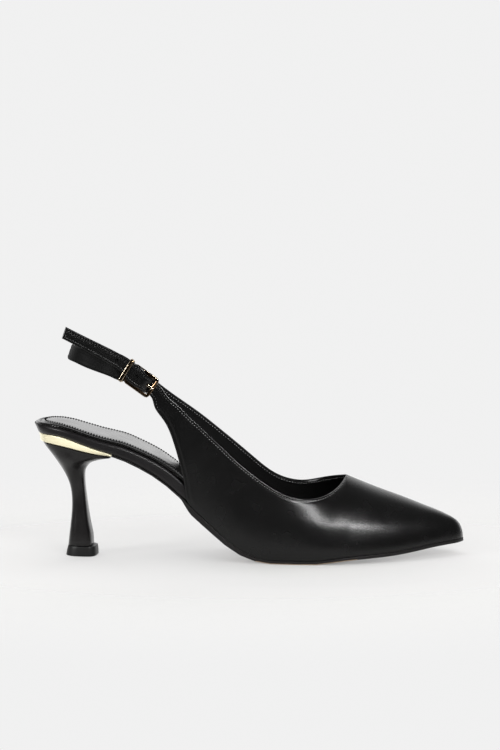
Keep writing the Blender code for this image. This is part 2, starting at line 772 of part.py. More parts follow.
def column_points(row, sign, edge):
    """Points of one column, from the feather line or lower edge to the top."""
    top = row[0:3]
    low = row[3:6].copy()
    wall, bulge, lean, drop, fore, aft = row[6:12]
    if low[0] >= along(FEATHER_START) - 0.00001:
        low[1] = float(edge(low[0]))
        low[2] = float(bed_height(low[0]))
    rise = top[2] - low[2]
    shift = top[0] - low[0]
    across = top[1] - low[1]
    first = np.array([
        low[0] + fore * shift,
        low[1] + fore * across + sign * bulge * BALL_WIDTH,
        low[2] + wall * rise,
    ])
    second = np.array([
        top[0] - aft * shift,
        top[1] - fore * across + sign * lean * BALL_WIDTH,
        top[2] - drop * rise,
    ])
    points = []
    for i in range(WALL_ROWS + 1):
        t = i / WALL_ROWS
        points.append(
            low * (1 - t) ** 3 + first * 3 * t * (1 - t) ** 2
            + second * 3 * t ** 2 * (1 - t) + top * t ** 3
        )
    return points


def upper_columns(table, sign, strap):
    """All columns of one side, from the strap or the tab to the toe's tip."""
    edges = plan_edges(0.0)
    edge = edges[0] if sign < 0 else edges[1]
    rows = []
    for row in table:
        low = upper_point(row[0], row[1], row[2], sign)
        if row[2] == 0:
            low[1] = float(edge(low[0]))
        top = upper_point(row[3], row[4], row[5], sign)
        rows.append(np.concatenate([top, low, row[6:12]]))
    quarter_steps = steps_for(rows, QUARTER_SPACING)
    if strap:
        strap_rows = strap_columns()
        joined = strap_rows + rows
        steps = steps_for(strap_rows + rows[:1], STRAP_SPACING) + quarter_steps
    else:
        joined = rows
        steps = quarter_steps
    columns = [column_points(row, sign, edge) for row in between(joined, steps)]
    ahead = between(vamp_columns(sign), VAMP_STEPS)
    columns.extend(column_points(row, sign, edge) for row in ahead[1:])
    return columns


def build_upper(materials, collection, cutters):
    outer = upper_columns(OUTER_QUARTER, -1.0, True)
    inner = upper_columns(INNER_QUARTER, 1.0, False)
    points = []
    faces = []
    for side, columns in ((0, outer), (1, inner)):
        first = len(points)
        size = WALL_ROWS + 1
        for line in columns:
            points.extend(line)
        for i in range(len(columns) - 1):
            for j in range(WALL_ROWS):
                a = first + i * size + j
                b = a + size
                face = (a, b, b + 1, a + 1)
                faces.append(face if side == 0 else face[::-1])
    upper = add_mesh("upper", points, faces, materials["black_leather"], collection)
    shape = bmesh.new()
    shape.from_mesh(upper.data)
    bmesh.ops.remove_doubles(shape, verts=shape.verts, dist=0.00002)
    bmesh.ops.dissolve_degenerate(shape, edges=shape.edges, dist=0.00001)
    shape.to_mesh(upper.data)
    shape.free()
    soften(upper, 60.0)
    wall = upper.modifiers.new("wall", "SOLIDIFY")
    wall.thickness = UPPER_WALL
    wall.offset = -1.0
    wall.use_even_offset = True
    wall.use_quality_normals = True
    wall.use_rim = True

    for i, place in enumerate(STRAP_HOLES):
        centre = strap_place(place)
        hole = add_cylinder(
            f"cut_hole_{i + 1}", centre, buckle_axes()[2], HOLE_DIAMETER / 2, 4 * UPPER_WALL, cutters,
        )
        cut(upper, hole)
    half = PRONG_WIDTH / 2 + PRONG_HOLE_GAP
    deep = PRONG_THICKNESS / 2 + PRONG_HOLE_GAP
    slot = add_box(
        "cut_prong_hole", (PRONG_HOLE_FROM * BUCKLE_LENGTH, -half, PRONG_OUT - deep),
        (PRONG_HOLE_TO * BUCKLE_LENGTH, half, PRONG_OUT + deep), cutters,
    )
    cut(upper, slot)


def strap_place(share):
    """Point on the holed strap's outer face at this share of the buckle length."""
    table = np.array(HOLED_STRAP)
    across = float(np.interp(share, table[:, 0], table[:, 1]))
    out = float(np.interp(share, table[:, 0], table[:, 2]))
    return buckle_point(share * BUCKLE_LENGTH, across * STRAP_WIDTH, out * UPPER_WALL)


def add_cylinder(name, centre, axis, radius, depth, collection):
    shape = bmesh.new()
    bmesh.ops.create_cone(
        shape, cap_ends=True, segments=12, radius1=radius, radius2=radius, depth=depth,
    )
    mesh = bpy.data.meshes.new(name)
    shape.to_mesh(mesh)
    shape.free()
    obj = bpy.data.objects.new(name, mesh)
    obj.rotation_mode = "QUATERNION"
    obj.rotation_quaternion = Vector((0, 0, 1)).rotation_difference(axis)
    obj.location = centre
    collection.objects.link(obj)
    return obj


def add_box(name, low, high, collection):
    """Box between two corners in the buckle's own frame."""
    fore, across, out = buckle_axes()
    size = [high[i] - low[i] for i in range(3)]
    middle = buckle_point(*[(high[i] + low[i]) / 2 for i in range(3)])
    place = Matrix((fore, across, out)).transposed().to_4x4()
    place.translation = middle
    shape = bmesh.new()
    bmesh.ops.create_cube(shape, size=1.0, matrix=place @ Matrix.Diagonal((*size, 1.0)))
    bmesh.ops.recalc_face_normals(shape, faces=shape.faces)
    mesh = bpy.data.meshes.new(name)
    shape.to_mesh(mesh)
    shape.free()
    obj = bpy.data.objects.new(name, mesh)
    collection.objects.link(obj)
    return obj


def cut(target, cutter):
    cutter.hide_render = True
    cutter.display_type = "WIRE"
    step = target.modifiers.new(cutter.name, "BOOLEAN")
    step.operation = "DIFFERENCE"
    step.solver = "EXACT"
    step.object = cutter


def band_ring(centre, across, out, half, thickness, edge):
    """Eight-sided section of a strap with softened edges."""
    ring = []
    thick = thickness / 2
    for b, n in (
        (half, thick - edge), (half - edge, thick), (-half + edge, thick), (-half, thick - edge),
        (-half, -thick + edge), (-half + edge, -thick), (half - edge, -thick), (half, -thick + edge),
    ):
        ring.append(centre + across * b + out * n)
    return ring


def build_back_strap(materials, collection, cutters):
    fore, across, out = buckle_axes()
    radius = BUCKLE_BAR_THICKNESS / 2 + PIVOT_GAP + BACK_STRAP_THICKNESS / 2
    pivot = -(BUCKLE_LENGTH - BUCKLE_BAR_WIDTH) / 2
    turn_back = pivot - BUCKLE_BAR_THICKNESS / 2
    rows = [
        (turn_back - BACK_STRAP_THICKNESS, 0.0, radius, EYE_WIDTH),
        (turn_back, 0.0, radius, EYE_WIDTH),
    ]
    for i in range(9):
        turn = math.pi / 2 - math.pi * i / 8
        rows.append((pivot + radius * math.cos(turn), 0.0, radius * math.sin(turn), EYE_WIDTH))
    rows.append((turn_back, 0.0, -radius, EYE_WIDTH))
    for a, b, n, width in BACK_STRAP_NEAR:
        rows.append((a * BUCKLE_LENGTH, b * BACK_STRAP_WIDTH, n * BACK_STRAP_THICKNESS, width))
    path = []
    for a, b, n, width in rows:
        path.append([*buckle_point(a, b, n), width * BACK_STRAP_WIDTH / 2, BUCKLE_LEAN])
    for share, side, rise, lean in BACK_STRAP_LOOP:
        x = along(share)
        z = float(bed_height(x)) + rise * ANKLE_HEIGHT
        path.append([x, side * BALL_WIDTH, z, BACK_STRAP_WIDTH / 2, lean])
    path = np.array(path)
    joint = len(rows) - 3
    loop = smooth(path[joint:], np.linspace(0, 1, BACK_STRAP_STATIONS))
    fine = np.vstack([path[:joint], loop])
    centres = fine[:, :3]
    ahead = np.gradient(centres, axis=0)
    ahead /= np.linalg.norm(ahead, axis=1)[:, None]
    middle = Vector((along(LOOP_MIDDLE), 0.0, 0.0))
    rings = []
    for i, row in enumerate(fine):
        tangent = Vector(ahead[i])
        centre = Vector(row[:3])
        inward = middle - centre
        inward.z = 0
        inward.normalize()
        upright = (Vector((0, 0, 1)) + inward * float(row[4])).normalized()
        share = min(1.0, max(0.0, (i - joint) / 8.0))
        up = across * (1 - share) + upright * share
        up = (up - tangent * up.dot(tangent)).normalized()
        side = tangent.cross(up).normalized()
        rings.append(band_ring(centre, up, side, float(row[3]), BACK_STRAP_THICKNESS, STRAP_EDGE))
    strap = loft("back_strap", rings, materials["black_leather"], collection)
    half = PRONG_WIDTH / 2 + PRONG_SLOT_GAP
    deep = 2 * radius
    slot = add_box(
        "cut_prong_slot", (turn_back - BACK_STRAP_THICKNESS - PRONG_SLOT_GAP, -half, -deep),
        (pivot + deep, half, deep), cutters,
    )
    cut(strap, slot)


def corner_turns():
    """Sides and angles of a rounded rectangle's twelve points, in order."""
    for sa, sb, start in ((1, 1, 0), (-1, 1, 90), (-1, -1, 180), (1, -1, 270)):
        for turn in (0, 45, 90):
            yield sa, sb, turn, math.radians(start + turn)


def build_buckle(materials, collection):
    fore, across, out = buckle_axes()
    length = BUCKLE_LENGTH - BUCKLE_BAR_WIDTH
    height = BUCKLE_HEIGHT - BUCKLE_BAR_WIDTH
    thick = BUCKLE_BAR_THICKNESS / 2
    rings = []
    for sa, sb, turn, angle in corner_turns():
        a = sa * (length / 2 - BUCKLE_CORNER) + BUCKLE_CORNER * math.cos(angle)
        b = sb * (height / 2 - BUCKLE_CORNER) + BUCKLE_CORNER * math.sin(angle)
        outward = fore * math.cos(angle) + across * math.sin(angle)
        pivot_end = sa < 0 and turn == (90 if sb > 0 else 0)
        half = thick if pivot_end else BUCKLE_BAR_WIDTH / 2
        edge = thick * 0.55 if pivot_end else BAR_EDGE
        rings.append(band_ring(
            buckle_point(a, b, 0), outward, out, half, BUCKLE_BAR_THICKNESS, edge,
        ))
    loft("buckle_frame", rings, materials["pale_gold"], collection, closed=True)

    pivot = -length / 2
    path = []
    for i in range(12):
        turn = math.radians(380 - 290 * i / 11)
        path.append((pivot + PRONG_OUT * math.cos(turn), PRONG_OUT * math.sin(turn)))
    for share in (0.2, 0.5, 0.8, 1.0):
        path.append((pivot + share * (length + BUCKLE_BAR_WIDTH * 0.35), PRONG_OUT))
    rings = []
    for i, (a, n) in enumerate(path):
        before = path[max(i - 1, 0)]
        after = path[min(i + 1, len(path) - 1)]
        tangent = (fore * (after[0] - before[0]) + out * (after[1] - before[1])).normalized()
        side = tangent.cross(across).normalized()
        half = PRONG_WIDTH / 2 * (0.7 if i == len(path) - 1 else 1.0)
        rings.append(band_ring(
            buckle_point(a, 0, n), across, side, half, PRONG_THICKNESS, PRONG_THICKNESS / 4,
        ))
    loft("prong", rings, materials["pale_gold"], collection)

    turned = math.radians(KEEPER_TURN)
    along_band = (fore * math.cos(turned) - across * math.sin(turned)).normalized()
    across_band = (across * math.cos(turned) + fore * math.sin(turned)).normalized()
    hub = buckle_point(KEEPER_PLACE * BUCKLE_LENGTH, 0, 0)
    edge = KEEPER_THICKNESS / 2
    half_b = (KEEPER_HIGH - KEEPER_LOW) / 2 + edge
    half_n = (KEEPER_OUTER - KEEPER_INNER) / 2 + edge
    middle_b = (KEEPER_HIGH + KEEPER_LOW) / 2
    middle_n = (KEEPER_OUTER + KEEPER_INNER) / 2
    rings = []
    for sb, sn, turn, angle in corner_turns():
        b = middle_b + sb * (half_b - KEEPER_CORNER) + KEEPER_CORNER * math.cos(angle)
        n = middle_n + sn * (half_n - KEEPER_CORNER) + KEEPER_CORNER * math.sin(angle)
        outward = across_band * math.cos(angle) + out * math.sin(angle)
        rings.append(band_ring(
            hub + across_band * b + out * n, along_band, outward,
            KEEPER_WIDTH / 2, KEEPER_THICKNESS, KEEPER_THICKNESS / 3,
        ))
    loft("keeper", rings, materials["pale_gold"], collection, closed=True)


def main():
    clear_scene()
    scene = bpy.context.scene
    shoe = bpy.data.collections.new("slingback_pump")
    cutters = bpy.data.collections.new("cutters")
    scene.collection.children.link(shoe)
    scene.collection.children.link(cutters)
    materials = make_materials()
    build_sole(materials, shoe)
    build_heel(materials, shoe)
    build_upper(materials, shoe, cutters)
    build_back_strap(materials, shoe, cutters)
    build_buckle(materials, shoe)


main()
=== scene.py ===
"""Slingback pump: leather, stitching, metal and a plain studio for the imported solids.

Metres, +Z up, +X to the toe, +Y to the inner side of the foot, origin under the heel.
"""
import math

import bmesh
import bpy
import numpy as np
from bpy.props import FloatProperty, FloatVectorProperty, PointerProperty
from mathutils import Matrix, Vector
from mathutils.kdtree import KDTree


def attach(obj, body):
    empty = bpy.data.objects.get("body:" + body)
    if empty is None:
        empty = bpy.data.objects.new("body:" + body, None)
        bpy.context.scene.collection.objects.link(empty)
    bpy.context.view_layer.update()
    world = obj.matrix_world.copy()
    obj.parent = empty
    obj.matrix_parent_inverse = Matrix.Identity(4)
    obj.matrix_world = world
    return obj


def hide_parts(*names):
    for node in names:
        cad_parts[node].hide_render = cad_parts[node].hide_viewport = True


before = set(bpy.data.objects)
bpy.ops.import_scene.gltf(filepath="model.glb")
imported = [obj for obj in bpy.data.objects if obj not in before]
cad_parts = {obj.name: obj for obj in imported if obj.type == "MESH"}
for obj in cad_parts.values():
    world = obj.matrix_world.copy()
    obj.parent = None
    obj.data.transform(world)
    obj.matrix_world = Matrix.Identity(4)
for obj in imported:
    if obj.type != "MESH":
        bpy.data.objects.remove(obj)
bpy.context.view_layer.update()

bl_info = {
    "name": "Slingback pump",
    "version": (1, 0, 0),
    "blender": (4, 5, 0),
    "location": "3D View > Sidebar > Pump",
    "description": "Dresses a slingback pump in leather, stitching and metal",
    "category": "Object",
}

# Sizes of the last, as the solids have them
SHOE_LENGTH = 0.247
BALL_WIDTH = 0.076
HEEL_HEIGHT = 0.062
ANKLE_HEIGHT = 0.055
SEAT_OVERHANG = 0.027
UPPER_WALL = 0.0016
OUTSOLE_THICKNESS = 0.0020
BOARD_THICKNESS = 0.0067
SOCK_THICKNESS = 0.0012
SOCK_MARGIN = 0.0012
SEAM_GAP = 0.0003
STRAP_WIDTH = 0.0083
STRAP_TIP_SKEW = 0.0010
BACK_STRAP_WIDTH = 0.0076
BACK_STRAP_THICKNESS = 0.0011
EYE_WIDTH = 1.0
LOOP_MIDDLE = 0.190
HOLE_DIAMETER = 0.0019
BUCKLE_ALONG = 0.2515
BUCKLE_SIDE = -0.353
BUCKLE_RISE = 0.912
BUCKLE_PITCH = 35.0
BUCKLE_SPREAD = 0.12
BUCKLE_LEAN = 0.10
BUCKLE_LENGTH = 0.0170
BUCKLE_BAR_WIDTH = 0.0020
BUCKLE_BAR_THICKNESS = 0.0015
BUCKLE_PIVOT = -(BUCKLE_LENGTH - BUCKLE_BAR_WIDTH) / 2
PIVOT_GAP = 0.00025
PRONG_THICKNESS = 0.0008
PRONG_WIDTH = 0.0014
PRONG_OUT = 0.00135
PRONG_HOLE_GAP = 0.00025
FEATHER_START = 0.358

# Underside of the insole board. along: share of the length; height: share of the heel
# height above the forefoot's flat; board: share of the board's thickness.
BED_LINE = [
    # along, height, board
    (0.000, 1.123, 0.77),
    (0.030, 1.123, 0.77),
    (0.050, 1.117, 0.77),
    (0.078, 1.093, 0.77),
    (0.110, 1.051, 0.78),
    (0.150, 0.998, 0.82),
    (0.182, 0.961, 0.87),
    (0.200, 0.938, 0.90),
    (0.237, 0.871, 0.93),
    (0.276, 0.783, 0.97),
    (0.315, 0.668, 1.00),
    (0.342, 0.571, 1.00),
    (0.356, 0.516, 0.98),
    (0.369, 0.463, 0.94),
    (0.396, 0.363, 0.82),
    (0.423, 0.263, 0.68),
    (0.450, 0.165, 0.54),
    (0.478, 0.083, 0.42),
    (0.500, 0.043, 0.34),
    (0.530, 0.007, 0.29),
    (0.555, 0.000, 0.28),
    (0.640, 0.000, 0.28),
    (0.672, 0.011, 0.28),
    (0.707, 0.029, 0.28),
    (0.747, 0.043, 0.28),
    (0.785, 0.050, 0.28),
    (0.836, 0.060, 0.28),
    (0.866, 0.072, 0.28),
    (0.896, 0.086, 0.28),
    (0.925, 0.100, 0.28),
    (0.960, 0.110, 0.28),
    (1.000, 0.117, 0.28),
]

# Plan at the feather line: shares of the length and of the ball width
PLAN = [
    # along, outer, inner
    (-0.010, 0.000, 0.000),
    (0.000, 0.128, 0.128),
    (0.028, 0.232, 0.232),
    (0.078, 0.310, 0.307),
    (0.150, 0.350, 0.342),
    (0.220, 0.356, 0.338),
    (0.300, 0.344, 0.310),
    (0.360, 0.337, 0.281),
    (0.440, 0.360, 0.273),
    (0.520, 0.405, 0.320),
    (0.600, 0.446, 0.395),
    (0.680, 0.460, 0.452),
    (0.750, 0.430, 0.468),
    (0.820, 0.352, 0.420),
    (0.880, 0.252, 0.340),
    (0.930, 0.155, 0.252),
    (0.970, 0.068, 0.165),
    (0.990, 0.010, 0.112),
    (1.000, -0.050, 0.050),
]

# Columns of the quarters from lower edge to topline. x: shares of the length; half: of the
# ball width; rise: of the ankle height; the rest shape each column's curve.
OUTER_QUARTER = [
    # low_x, low_half, low_rise, top_x, top_half, top_rise, wall, bulge, lean, drop, fore, aft
    (0.281, 0.348, 0.720, 0.308, 0.358, 0.942, 0.33, 0.000, 0.000, 0.33, 0.33, 0.33),
    (0.303, 0.352, 0.642, 0.337, 0.362, 0.933, 0.33, 0.004, 0.002, 0.33, 0.33, 0.33),
    (0.321, 0.350, 0.529, 0.362, 0.362, 0.929, 0.33, 0.007, 0.004, 0.33, 0.33, 0.33),
    (0.337, 0.346, 0.349, 0.386, 0.360, 0.933, 0.33, 0.009, 0.005, 0.33, 0.33, 0.33),
    (0.350, 0.340, 0.140, 0.411, 0.356, 0.927, 0.33, 0.010, 0.006, 0.33, 0.25, 0.33),
    (0.358, 0.337, 0.000, 0.436, 0.352, 0.925, 0.33, 0.012, 0.008, 0.33, 0.20, 0.33),
    (0.405, 0.345, 0.000, 0.470, 0.349, 0.904, 0.33, 0.018, 0.010, 0.33, 0.15, 0.33),
    (0.475, 0.380, 0.000, 0.515, 0.355, 0.833, 0.35, 0.024, 0.016, 0.32, 0.10, 0.33),
    (0.553, 0.420, 0.000, 0.573, 0.374, 0.696, 0.36, 0.026, 0.032, 0.30, 0.10, 0.30),
    (0.622, 0.453, 0.000, 0.630, 0.360, 0.629, 0.37, 0.026, 0.062, 0.26, 0.05, 0.20),
    (0.677, 0.460, 0.000, 0.673, 0.282, 0.635, 0.38, 0.025, 0.112, 0.19, 0.00, 0.00),
    (0.710, 0.455, 0.000, 0.705, 0.155, 0.687, 0.40, 0.023, 0.180, 0.10, 0.00, 0.00),
    (0.732, 0.445, 0.000, 0.725, -0.013, 0.764, 0.42, 0.020, 0.245, 0.03, 0.00, 0.00),
]
INNER_QUARTER = [
    # low_x, low_half, low_rise, top_x, top_half, top_rise, wall, bulge, lean, drop, fore, aft
    (0.238, 0.330, 0.723, 0.258, 0.332, 0.887, 0.33, 0.000, 0.000, 0.33, 0.33, 0.33),
    (0.267, 0.332, 0.662, 0.289, 0.337, 0.858, 0.33, 0.001, 0.000, 0.33, 0.33, 0.33),
    (0.298, 0.328, 0.575, 0.329, 0.340, 0.868, 0.33, 0.004, 0.002, 0.33, 0.33, 0.33),
    (0.319, 0.318, 0.458, 0.366, 0.339, 0.915, 0.33, 0.008, 0.004, 0.33, 0.33, 0.33),
    (0.338, 0.304, 0.284, 0.394, 0.335, 0.940, 0.33, 0.010, 0.005, 0.33, 0.30, 0.33),
    (0.358, 0.282, 0.000, 0.425, 0.330, 0.958, 0.34, 0.014, 0.006, 0.33, 0.20, 0.33),
    (0.410, 0.275, 0.000, 0.470, 0.323, 0.965, 0.34, 0.022, 0.008, 0.33, 0.15, 0.33),
    (0.478, 0.290, 0.000, 0.515, 0.322, 0.885, 0.35, 0.030, 0.014, 0.32, 0.10, 0.33),
    (0.553, 0.350, 0.000, 0.565, 0.334, 0.745, 0.36, 0.034, 0.028, 0.30, 0.10, 0.30),
    (0.622, 0.415, 0.000, 0.626, 0.328, 0.682, 0.37, 0.032, 0.060, 0.26, 0.05, 0.20),
    (0.677, 0.450, 0.000, 0.667, 0.258, 0.715, 0.38, 0.028, 0.112, 0.19, 0.00, 0.00),
    (0.710, 0.465, 0.000, 0.701, 0.140, 0.744, 0.40, 0.024, 0.180, 0.10, 0.00, 0.00),
    (0.732, 0.468, 0.000, 0.725, 0.013, 0.764, 0.42, 0.020, 0.245, 0.03, 0.00, 0.00),
]
VAMP = [
    # low_x, top_x, ridge, top_rise, wall, bulge, lean, drop, fore, aft
    (0.732, 0.725, 0.013, 0.764, 0.42, 0.020, 0.245, 0.03, 0.00, 0.00),
    (0.762, 0.760, 0.020, 0.687, 0.43, 0.016, 0.240, 0.02, 0.00, 0.00),
    (0.811, 0.809, 0.029, 0.588, 0.44, 0.012, 0.220, 0.02, 0.00, 0.00),
    (0.869, 0.866, 0.039, 0.472, 0.46, 0.008, 0.180, 0.02, 0.00, 0.10),
    (0.921, 0.910, 0.045, 0.368, 0.48, 0.005, 0.135, 0.03, 0.00, 0.30),
    (0.959, 0.943, 0.048, 0.294, 0.49, 0.003, 0.095, 0.05, 0.00, 0.45),
    (0.982, 0.961, 0.050, 0.250, 0.50, 0.002, 0.060, 0.08, 0.00, 0.55),
    (0.995, 0.968, 0.050, 0.231, 0.50, 0.001, 0.030, 0.11, 0.00, 0.60),
    (1.000, 0.971, 0.050, 0.222, 0.50, 0.000, 0.000, 0.12, 0.00, 0.60),
]

# The holed strap beside the buckle: shares of buckle length, strap width and upper wall
HOLED_STRAP = [
    # along, across, out, width
    (-3.030, -0.385, 2.27, 0.80),
    (-2.360, -0.185, 2.00, 0.85),
    (-1.650, 0.030, 1.94, 0.91),
    (-1.100, 0.175, 2.10, 0.95),
    (-0.640, 0.190, 2.44, 1.06),
    (-0.441, 0.112, 2.50, 1.23),
    (-0.180, 0.085, 2.47, 1.28),
    (-0.050, 0.045, 2.40, 1.20),
    (0.070, 0.005, 2.10, 1.08),
    (0.150, 0.000, 1.72, 1.07),
    (0.215, -0.005, 1.22, 1.06),
    (0.275, -0.005, 0.62, 1.06),
    (0.325, -0.003, 0.00, 1.05),
    (0.365, 0.010, -0.53, 1.00),
    (0.405, 0.010, -0.78, 1.00),
    (0.470, 0.010, -0.90, 1.00),
    (0.570, -0.020, -0.88, 1.02),
]
STRAP_HOLES = [-0.188, -0.618, -1.047]
PRONG_HOLE_FROM = 0.024
PRONG_HOLE_TO = 0.359

# The back strap: beside the buckle, then its loop round the ankle
BACK_STRAP_NEAR = [
    # along, across, out, width
    (-0.555, -0.200, -1.22, 0.90),
    (-0.640, -0.350, -0.90, 0.97),
    (-0.760, -0.430, -0.45, 1.00),
    (-0.920, -0.500, 0.00, 1.00),
]
BACK_STRAP_LOOP = [
    # along, side, rise, lean
    (0.172, -0.311, 0.900, 0.10),
    (0.132, -0.268, 0.905, 0.18),
    (0.106, -0.190, 0.905, 0.28),
    (0.0915, -0.080, 0.890, 0.35),
    (0.087, 0.030, 0.880, 0.35),
    (0.0955, 0.145, 0.865, 0.30),
    (0.120, 0.228, 0.868, 0.20),
    (0.152, 0.272, 0.878, 0.10),
    (0.191, 0.294, 0.876, 0.04),
    (0.222, 0.299, 0.836, 0.00),
    (0.248, 0.2995, 0.802, 0.00),
    (0.272, 0.3005, 0.764, 0.00),
]

# Relief of a folded and stitched edge: distance from the edge and height, in millimetres
EDGE_RELIEF = [
    (0.0, -0.32),
    (0.35, -0.06),
    (0.8, 0.05),
    (1.2, 0.02),
    (1.7, -0.10),
    (2.1, -0.10),
    (2.7, 0.00),
    (3.6, 0.00),
]
# Distances of the mesh's rows from an edge, in millimetres
EDGE_STEPS = [0.0, 0.45, 0.8, 1.15, 1.5, 1.85, 2.2, 2.7, 3.4]

# Relief of the padded sock: distance from its edge and height, in millimetres
SOCK_RELIEF = [
    (0.0, -1.20),
    (0.12, -0.85),
    (0.35, -0.48),
    (0.8, -0.10),
    (1.4, 0.05),
    (2.0, -0.25),
    (2.7, -0.75),
    (3.4, -0.45),
    (4.8, 0.22),
    (7.5, 0.50),
    (12.0, 0.58),
]
# The sock's trough and its puckers, and the stitches' distance from each side
SOCK_SEAM = 0.0027
SOCK_PUCKER = 0.00026
SOCK_ROWS = [0.0052, 0.0054]

# The heel's top piece, the turn of the heel's foot, and how far its back is drawn in under
# the seat, how far the foot's back stands out and how far its front flares to the top piece
LIFT_HEIGHT = 0.0071
HEEL_TURN = math.radians(-9.0)
HEEL_DRAWN = 0.0030
HEEL_FOOT_BACK = 0.0012
HEEL_FLARE = 0.0019

# Soft troughs and ridges of the leather, listed one by one: where along and how high on the outer
# side, how long, how wide and how tall in millimetres, and the turn of its run.
SOFT_FORMS = [
    # along, rise_mm, long_mm, wide_mm, tall_mm, turn
    (0.362, 1.0, 3.0, 0.5, -0.22, -60.0),
    (0.372, 0.5, 2.5, 0.5, -0.14, -58.0),
    (0.640, 31.0, 8.0, 2.5, 0.05, 5.0),
    (0.700, 18.0, 26.0, 4.0, 0.14, -3.0),
    (0.440, 50.0, 14.0, 3.5, -0.12, -42.0),
]

FLOOR_RADIUS = 0.9
# The floor's opacity round two spots: shift to the spot, stretch across, opacity inside
# and outside, and the distances where it starts and ends to change
FLOOR_FADE = ((-0.10, 0.0, 0.0), 1.5, 1.0, 0.0, 0.16, 0.46)
# Seen by the camera, the floor is mixed with the backdrop's flat colour, which pales its real
# shadows: painted light. Round the sole's contact the floor stays more opaque, so the contact
# shadow stays dark
SHADOW_FADE = ((-0.130, 0.070, 0.0), 1.6, 0.80, 0.48, 0.0, 0.09)
# The floor's opacity for every ray but the camera's
FLOOR_MIRRORED = 0.60
# Brightness of the room from the front, 0, to the back, 1
ROOM = [
    (0.0, 0.030), (0.40, 0.035), (0.55, 0.065), (0.76, 0.13), (0.86, 0.75), (0.93, 1.15),
    (1.0, 1.20),
]
LAMPS = [
    # name, place, target, size, other size, power, shows in reflections
    ("light_strip", (0.63, -0.88, 0.80), (0.14, 0.0, 0.02), 0.8, 0.10, "strip", True),
    ("light_above", (0.10, 0.20, 1.25), (0.10, 0.0, 0.0), 1.8, 1.4, "overhead", False),
    ("light_left", (-0.75, -0.45, 0.45), (0.0, 0.0, 0.03), 0.20, 0.6, "side", True),
    ("fill_front", (0.10, -1.40, 0.45), (0.10, 0.0, 0.0), 2.0, 0.8, "fill", False),
    ("fill_back", (0.10, 1.20, 0.35), (0.10, 0.0, 0.0), 2.0, 0.6, "fill", False),
]
PICTURE_HEIGHT = 750
AIM = (0.0966, 0.0, 0.1045)


class PumpLeather(bpy.types.PropertyGroup):
    colour: FloatVectorProperty(
        name="Leather", description="Colour of the upper's leather", subtype="COLOR",
        size=4, min=0, max=1, default=(0.0026, 0.0026, 0.0026, 1.0))
    roughness: FloatProperty(
        name="Roughness", description="Roughness of the upper's finish",
        subtype="FACTOR", min=0, max=1, default=0.25)
    grain: FloatProperty(
        name="Grain", description="Width of one cell of the grain", unit="LENGTH",
        min=0.0001, max=0.01, default=0.00042)
    lining: FloatVectorProperty(
        name="Lining", description="Colour of the lining and the sock", subtype="COLOR",
        size=4, min=0, max=1, default=(0.0022, 0.0022, 0.0022, 1.0))


class PumpStitching(bpy.types.PropertyGroup):
    pitch: FloatProperty(
        name="Pitch", description="Distance from one stitch to the next", unit="LENGTH",
        min=0.0005, max=0.01, default=0.00165)
    length: FloatProperty(
        name="Length", description="Length of one stitch", unit="LENGTH",
        min=0.0003, max=0.01, default=0.00090)
    thickness: FloatProperty(
        name="Thickness", description="Thickness of the thread", unit="LENGTH",
        min=0.0001, max=0.002, default=0.00032)
    margin: FloatProperty(
        name="Margin", description="Distance of a row from its edge", unit="LENGTH",
        min=0.0005, max=0.01, default=0.0016)
    colour: FloatVectorProperty(
        name="Thread", description="Colour of the thread", subtype="COLOR",
        size=4, min=0, max=1, default=(0.200, 0.200, 0.200, 1.0))


class PumpMetal(bpy.types.PropertyGroup):
    plate: FloatVectorProperty(
        name="Heel plate", description="Colour of the heel plate", subtype="COLOR",
        size=4, min=0, max=1, default=(1.000, 0.930, 0.660, 1.0))
    # The buckle's faces are painted dark: painted shade for the dark room they reflect. Its
    # bevelled edges are painted pale cream: a painted highlight
    buckle: FloatVectorProperty(
        name="Buckle", description="Colour of frame, prong and keeper", subtype="COLOR",
        size=4, min=0, max=1, default=(0.200, 0.125, 0.070, 1.0))
    edge: FloatVectorProperty(
        name="Buckle's edges", description="Colour of the polished edges", subtype="COLOR",
        size=4, min=0, max=1, default=(1.000, 0.860, 0.640, 1.0))
    roughness: FloatProperty(
        name="Roughness", description="Roughness of the polished metal",
        subtype="FACTOR", min=0, max=1, default=0.10)


class PumpStudio(bpy.types.PropertyGroup):
    backdrop: FloatVectorProperty(
        name="Backdrop", description="Colour behind the shoe", subtype="COLOR",
        size=4, min=0, max=1, default=(0.877, 0.877, 0.877, 1.0))
    floor: FloatVectorProperty(
        name="Floor", description="Colour of the floor", subtype="COLOR",
        size=4, min=0, max=1, default=(0.400, 0.397, 0.390, 1.0))
    elevation: FloatProperty(
        name="Elevation", description="Height angle of the camera", subtype="ANGLE",
        default=math.radians(7.2))
    distance: FloatProperty(
        name="Distance", description="From the camera to the shoe's middle", unit="LENGTH",
        min=0.3, max=10, default=1.8)
    magnification: FloatProperty(
        name="Magnification", description="Pixels a metre in a picture 500 wide",
        min=100, max=10000, default=1740.0)
    overhead: FloatProperty(
        name="Overhead light", description="Power of the light above the shoe",
        unit="POWER", min=0, max=1000, default=24.0)
    strip: FloatProperty(
        name="Strip light", description="Power of the strip in front of the shoe",
        unit="POWER", min=0, max=1000, default=9.6)
    fill: FloatProperty(
        name="Fill light", description="Power of each fill that softens the shadow",
        unit="POWER", min=0, max=1000, default=30.0)
    side: FloatProperty(
        name="Side light", description="Power of the light beside the heel",
        unit="POWER", min=0, max=1000, default=5.5)


# Curves and surfaces of the last


def column(table, index):
    return np.array([row[index] for row in table], dtype=float)


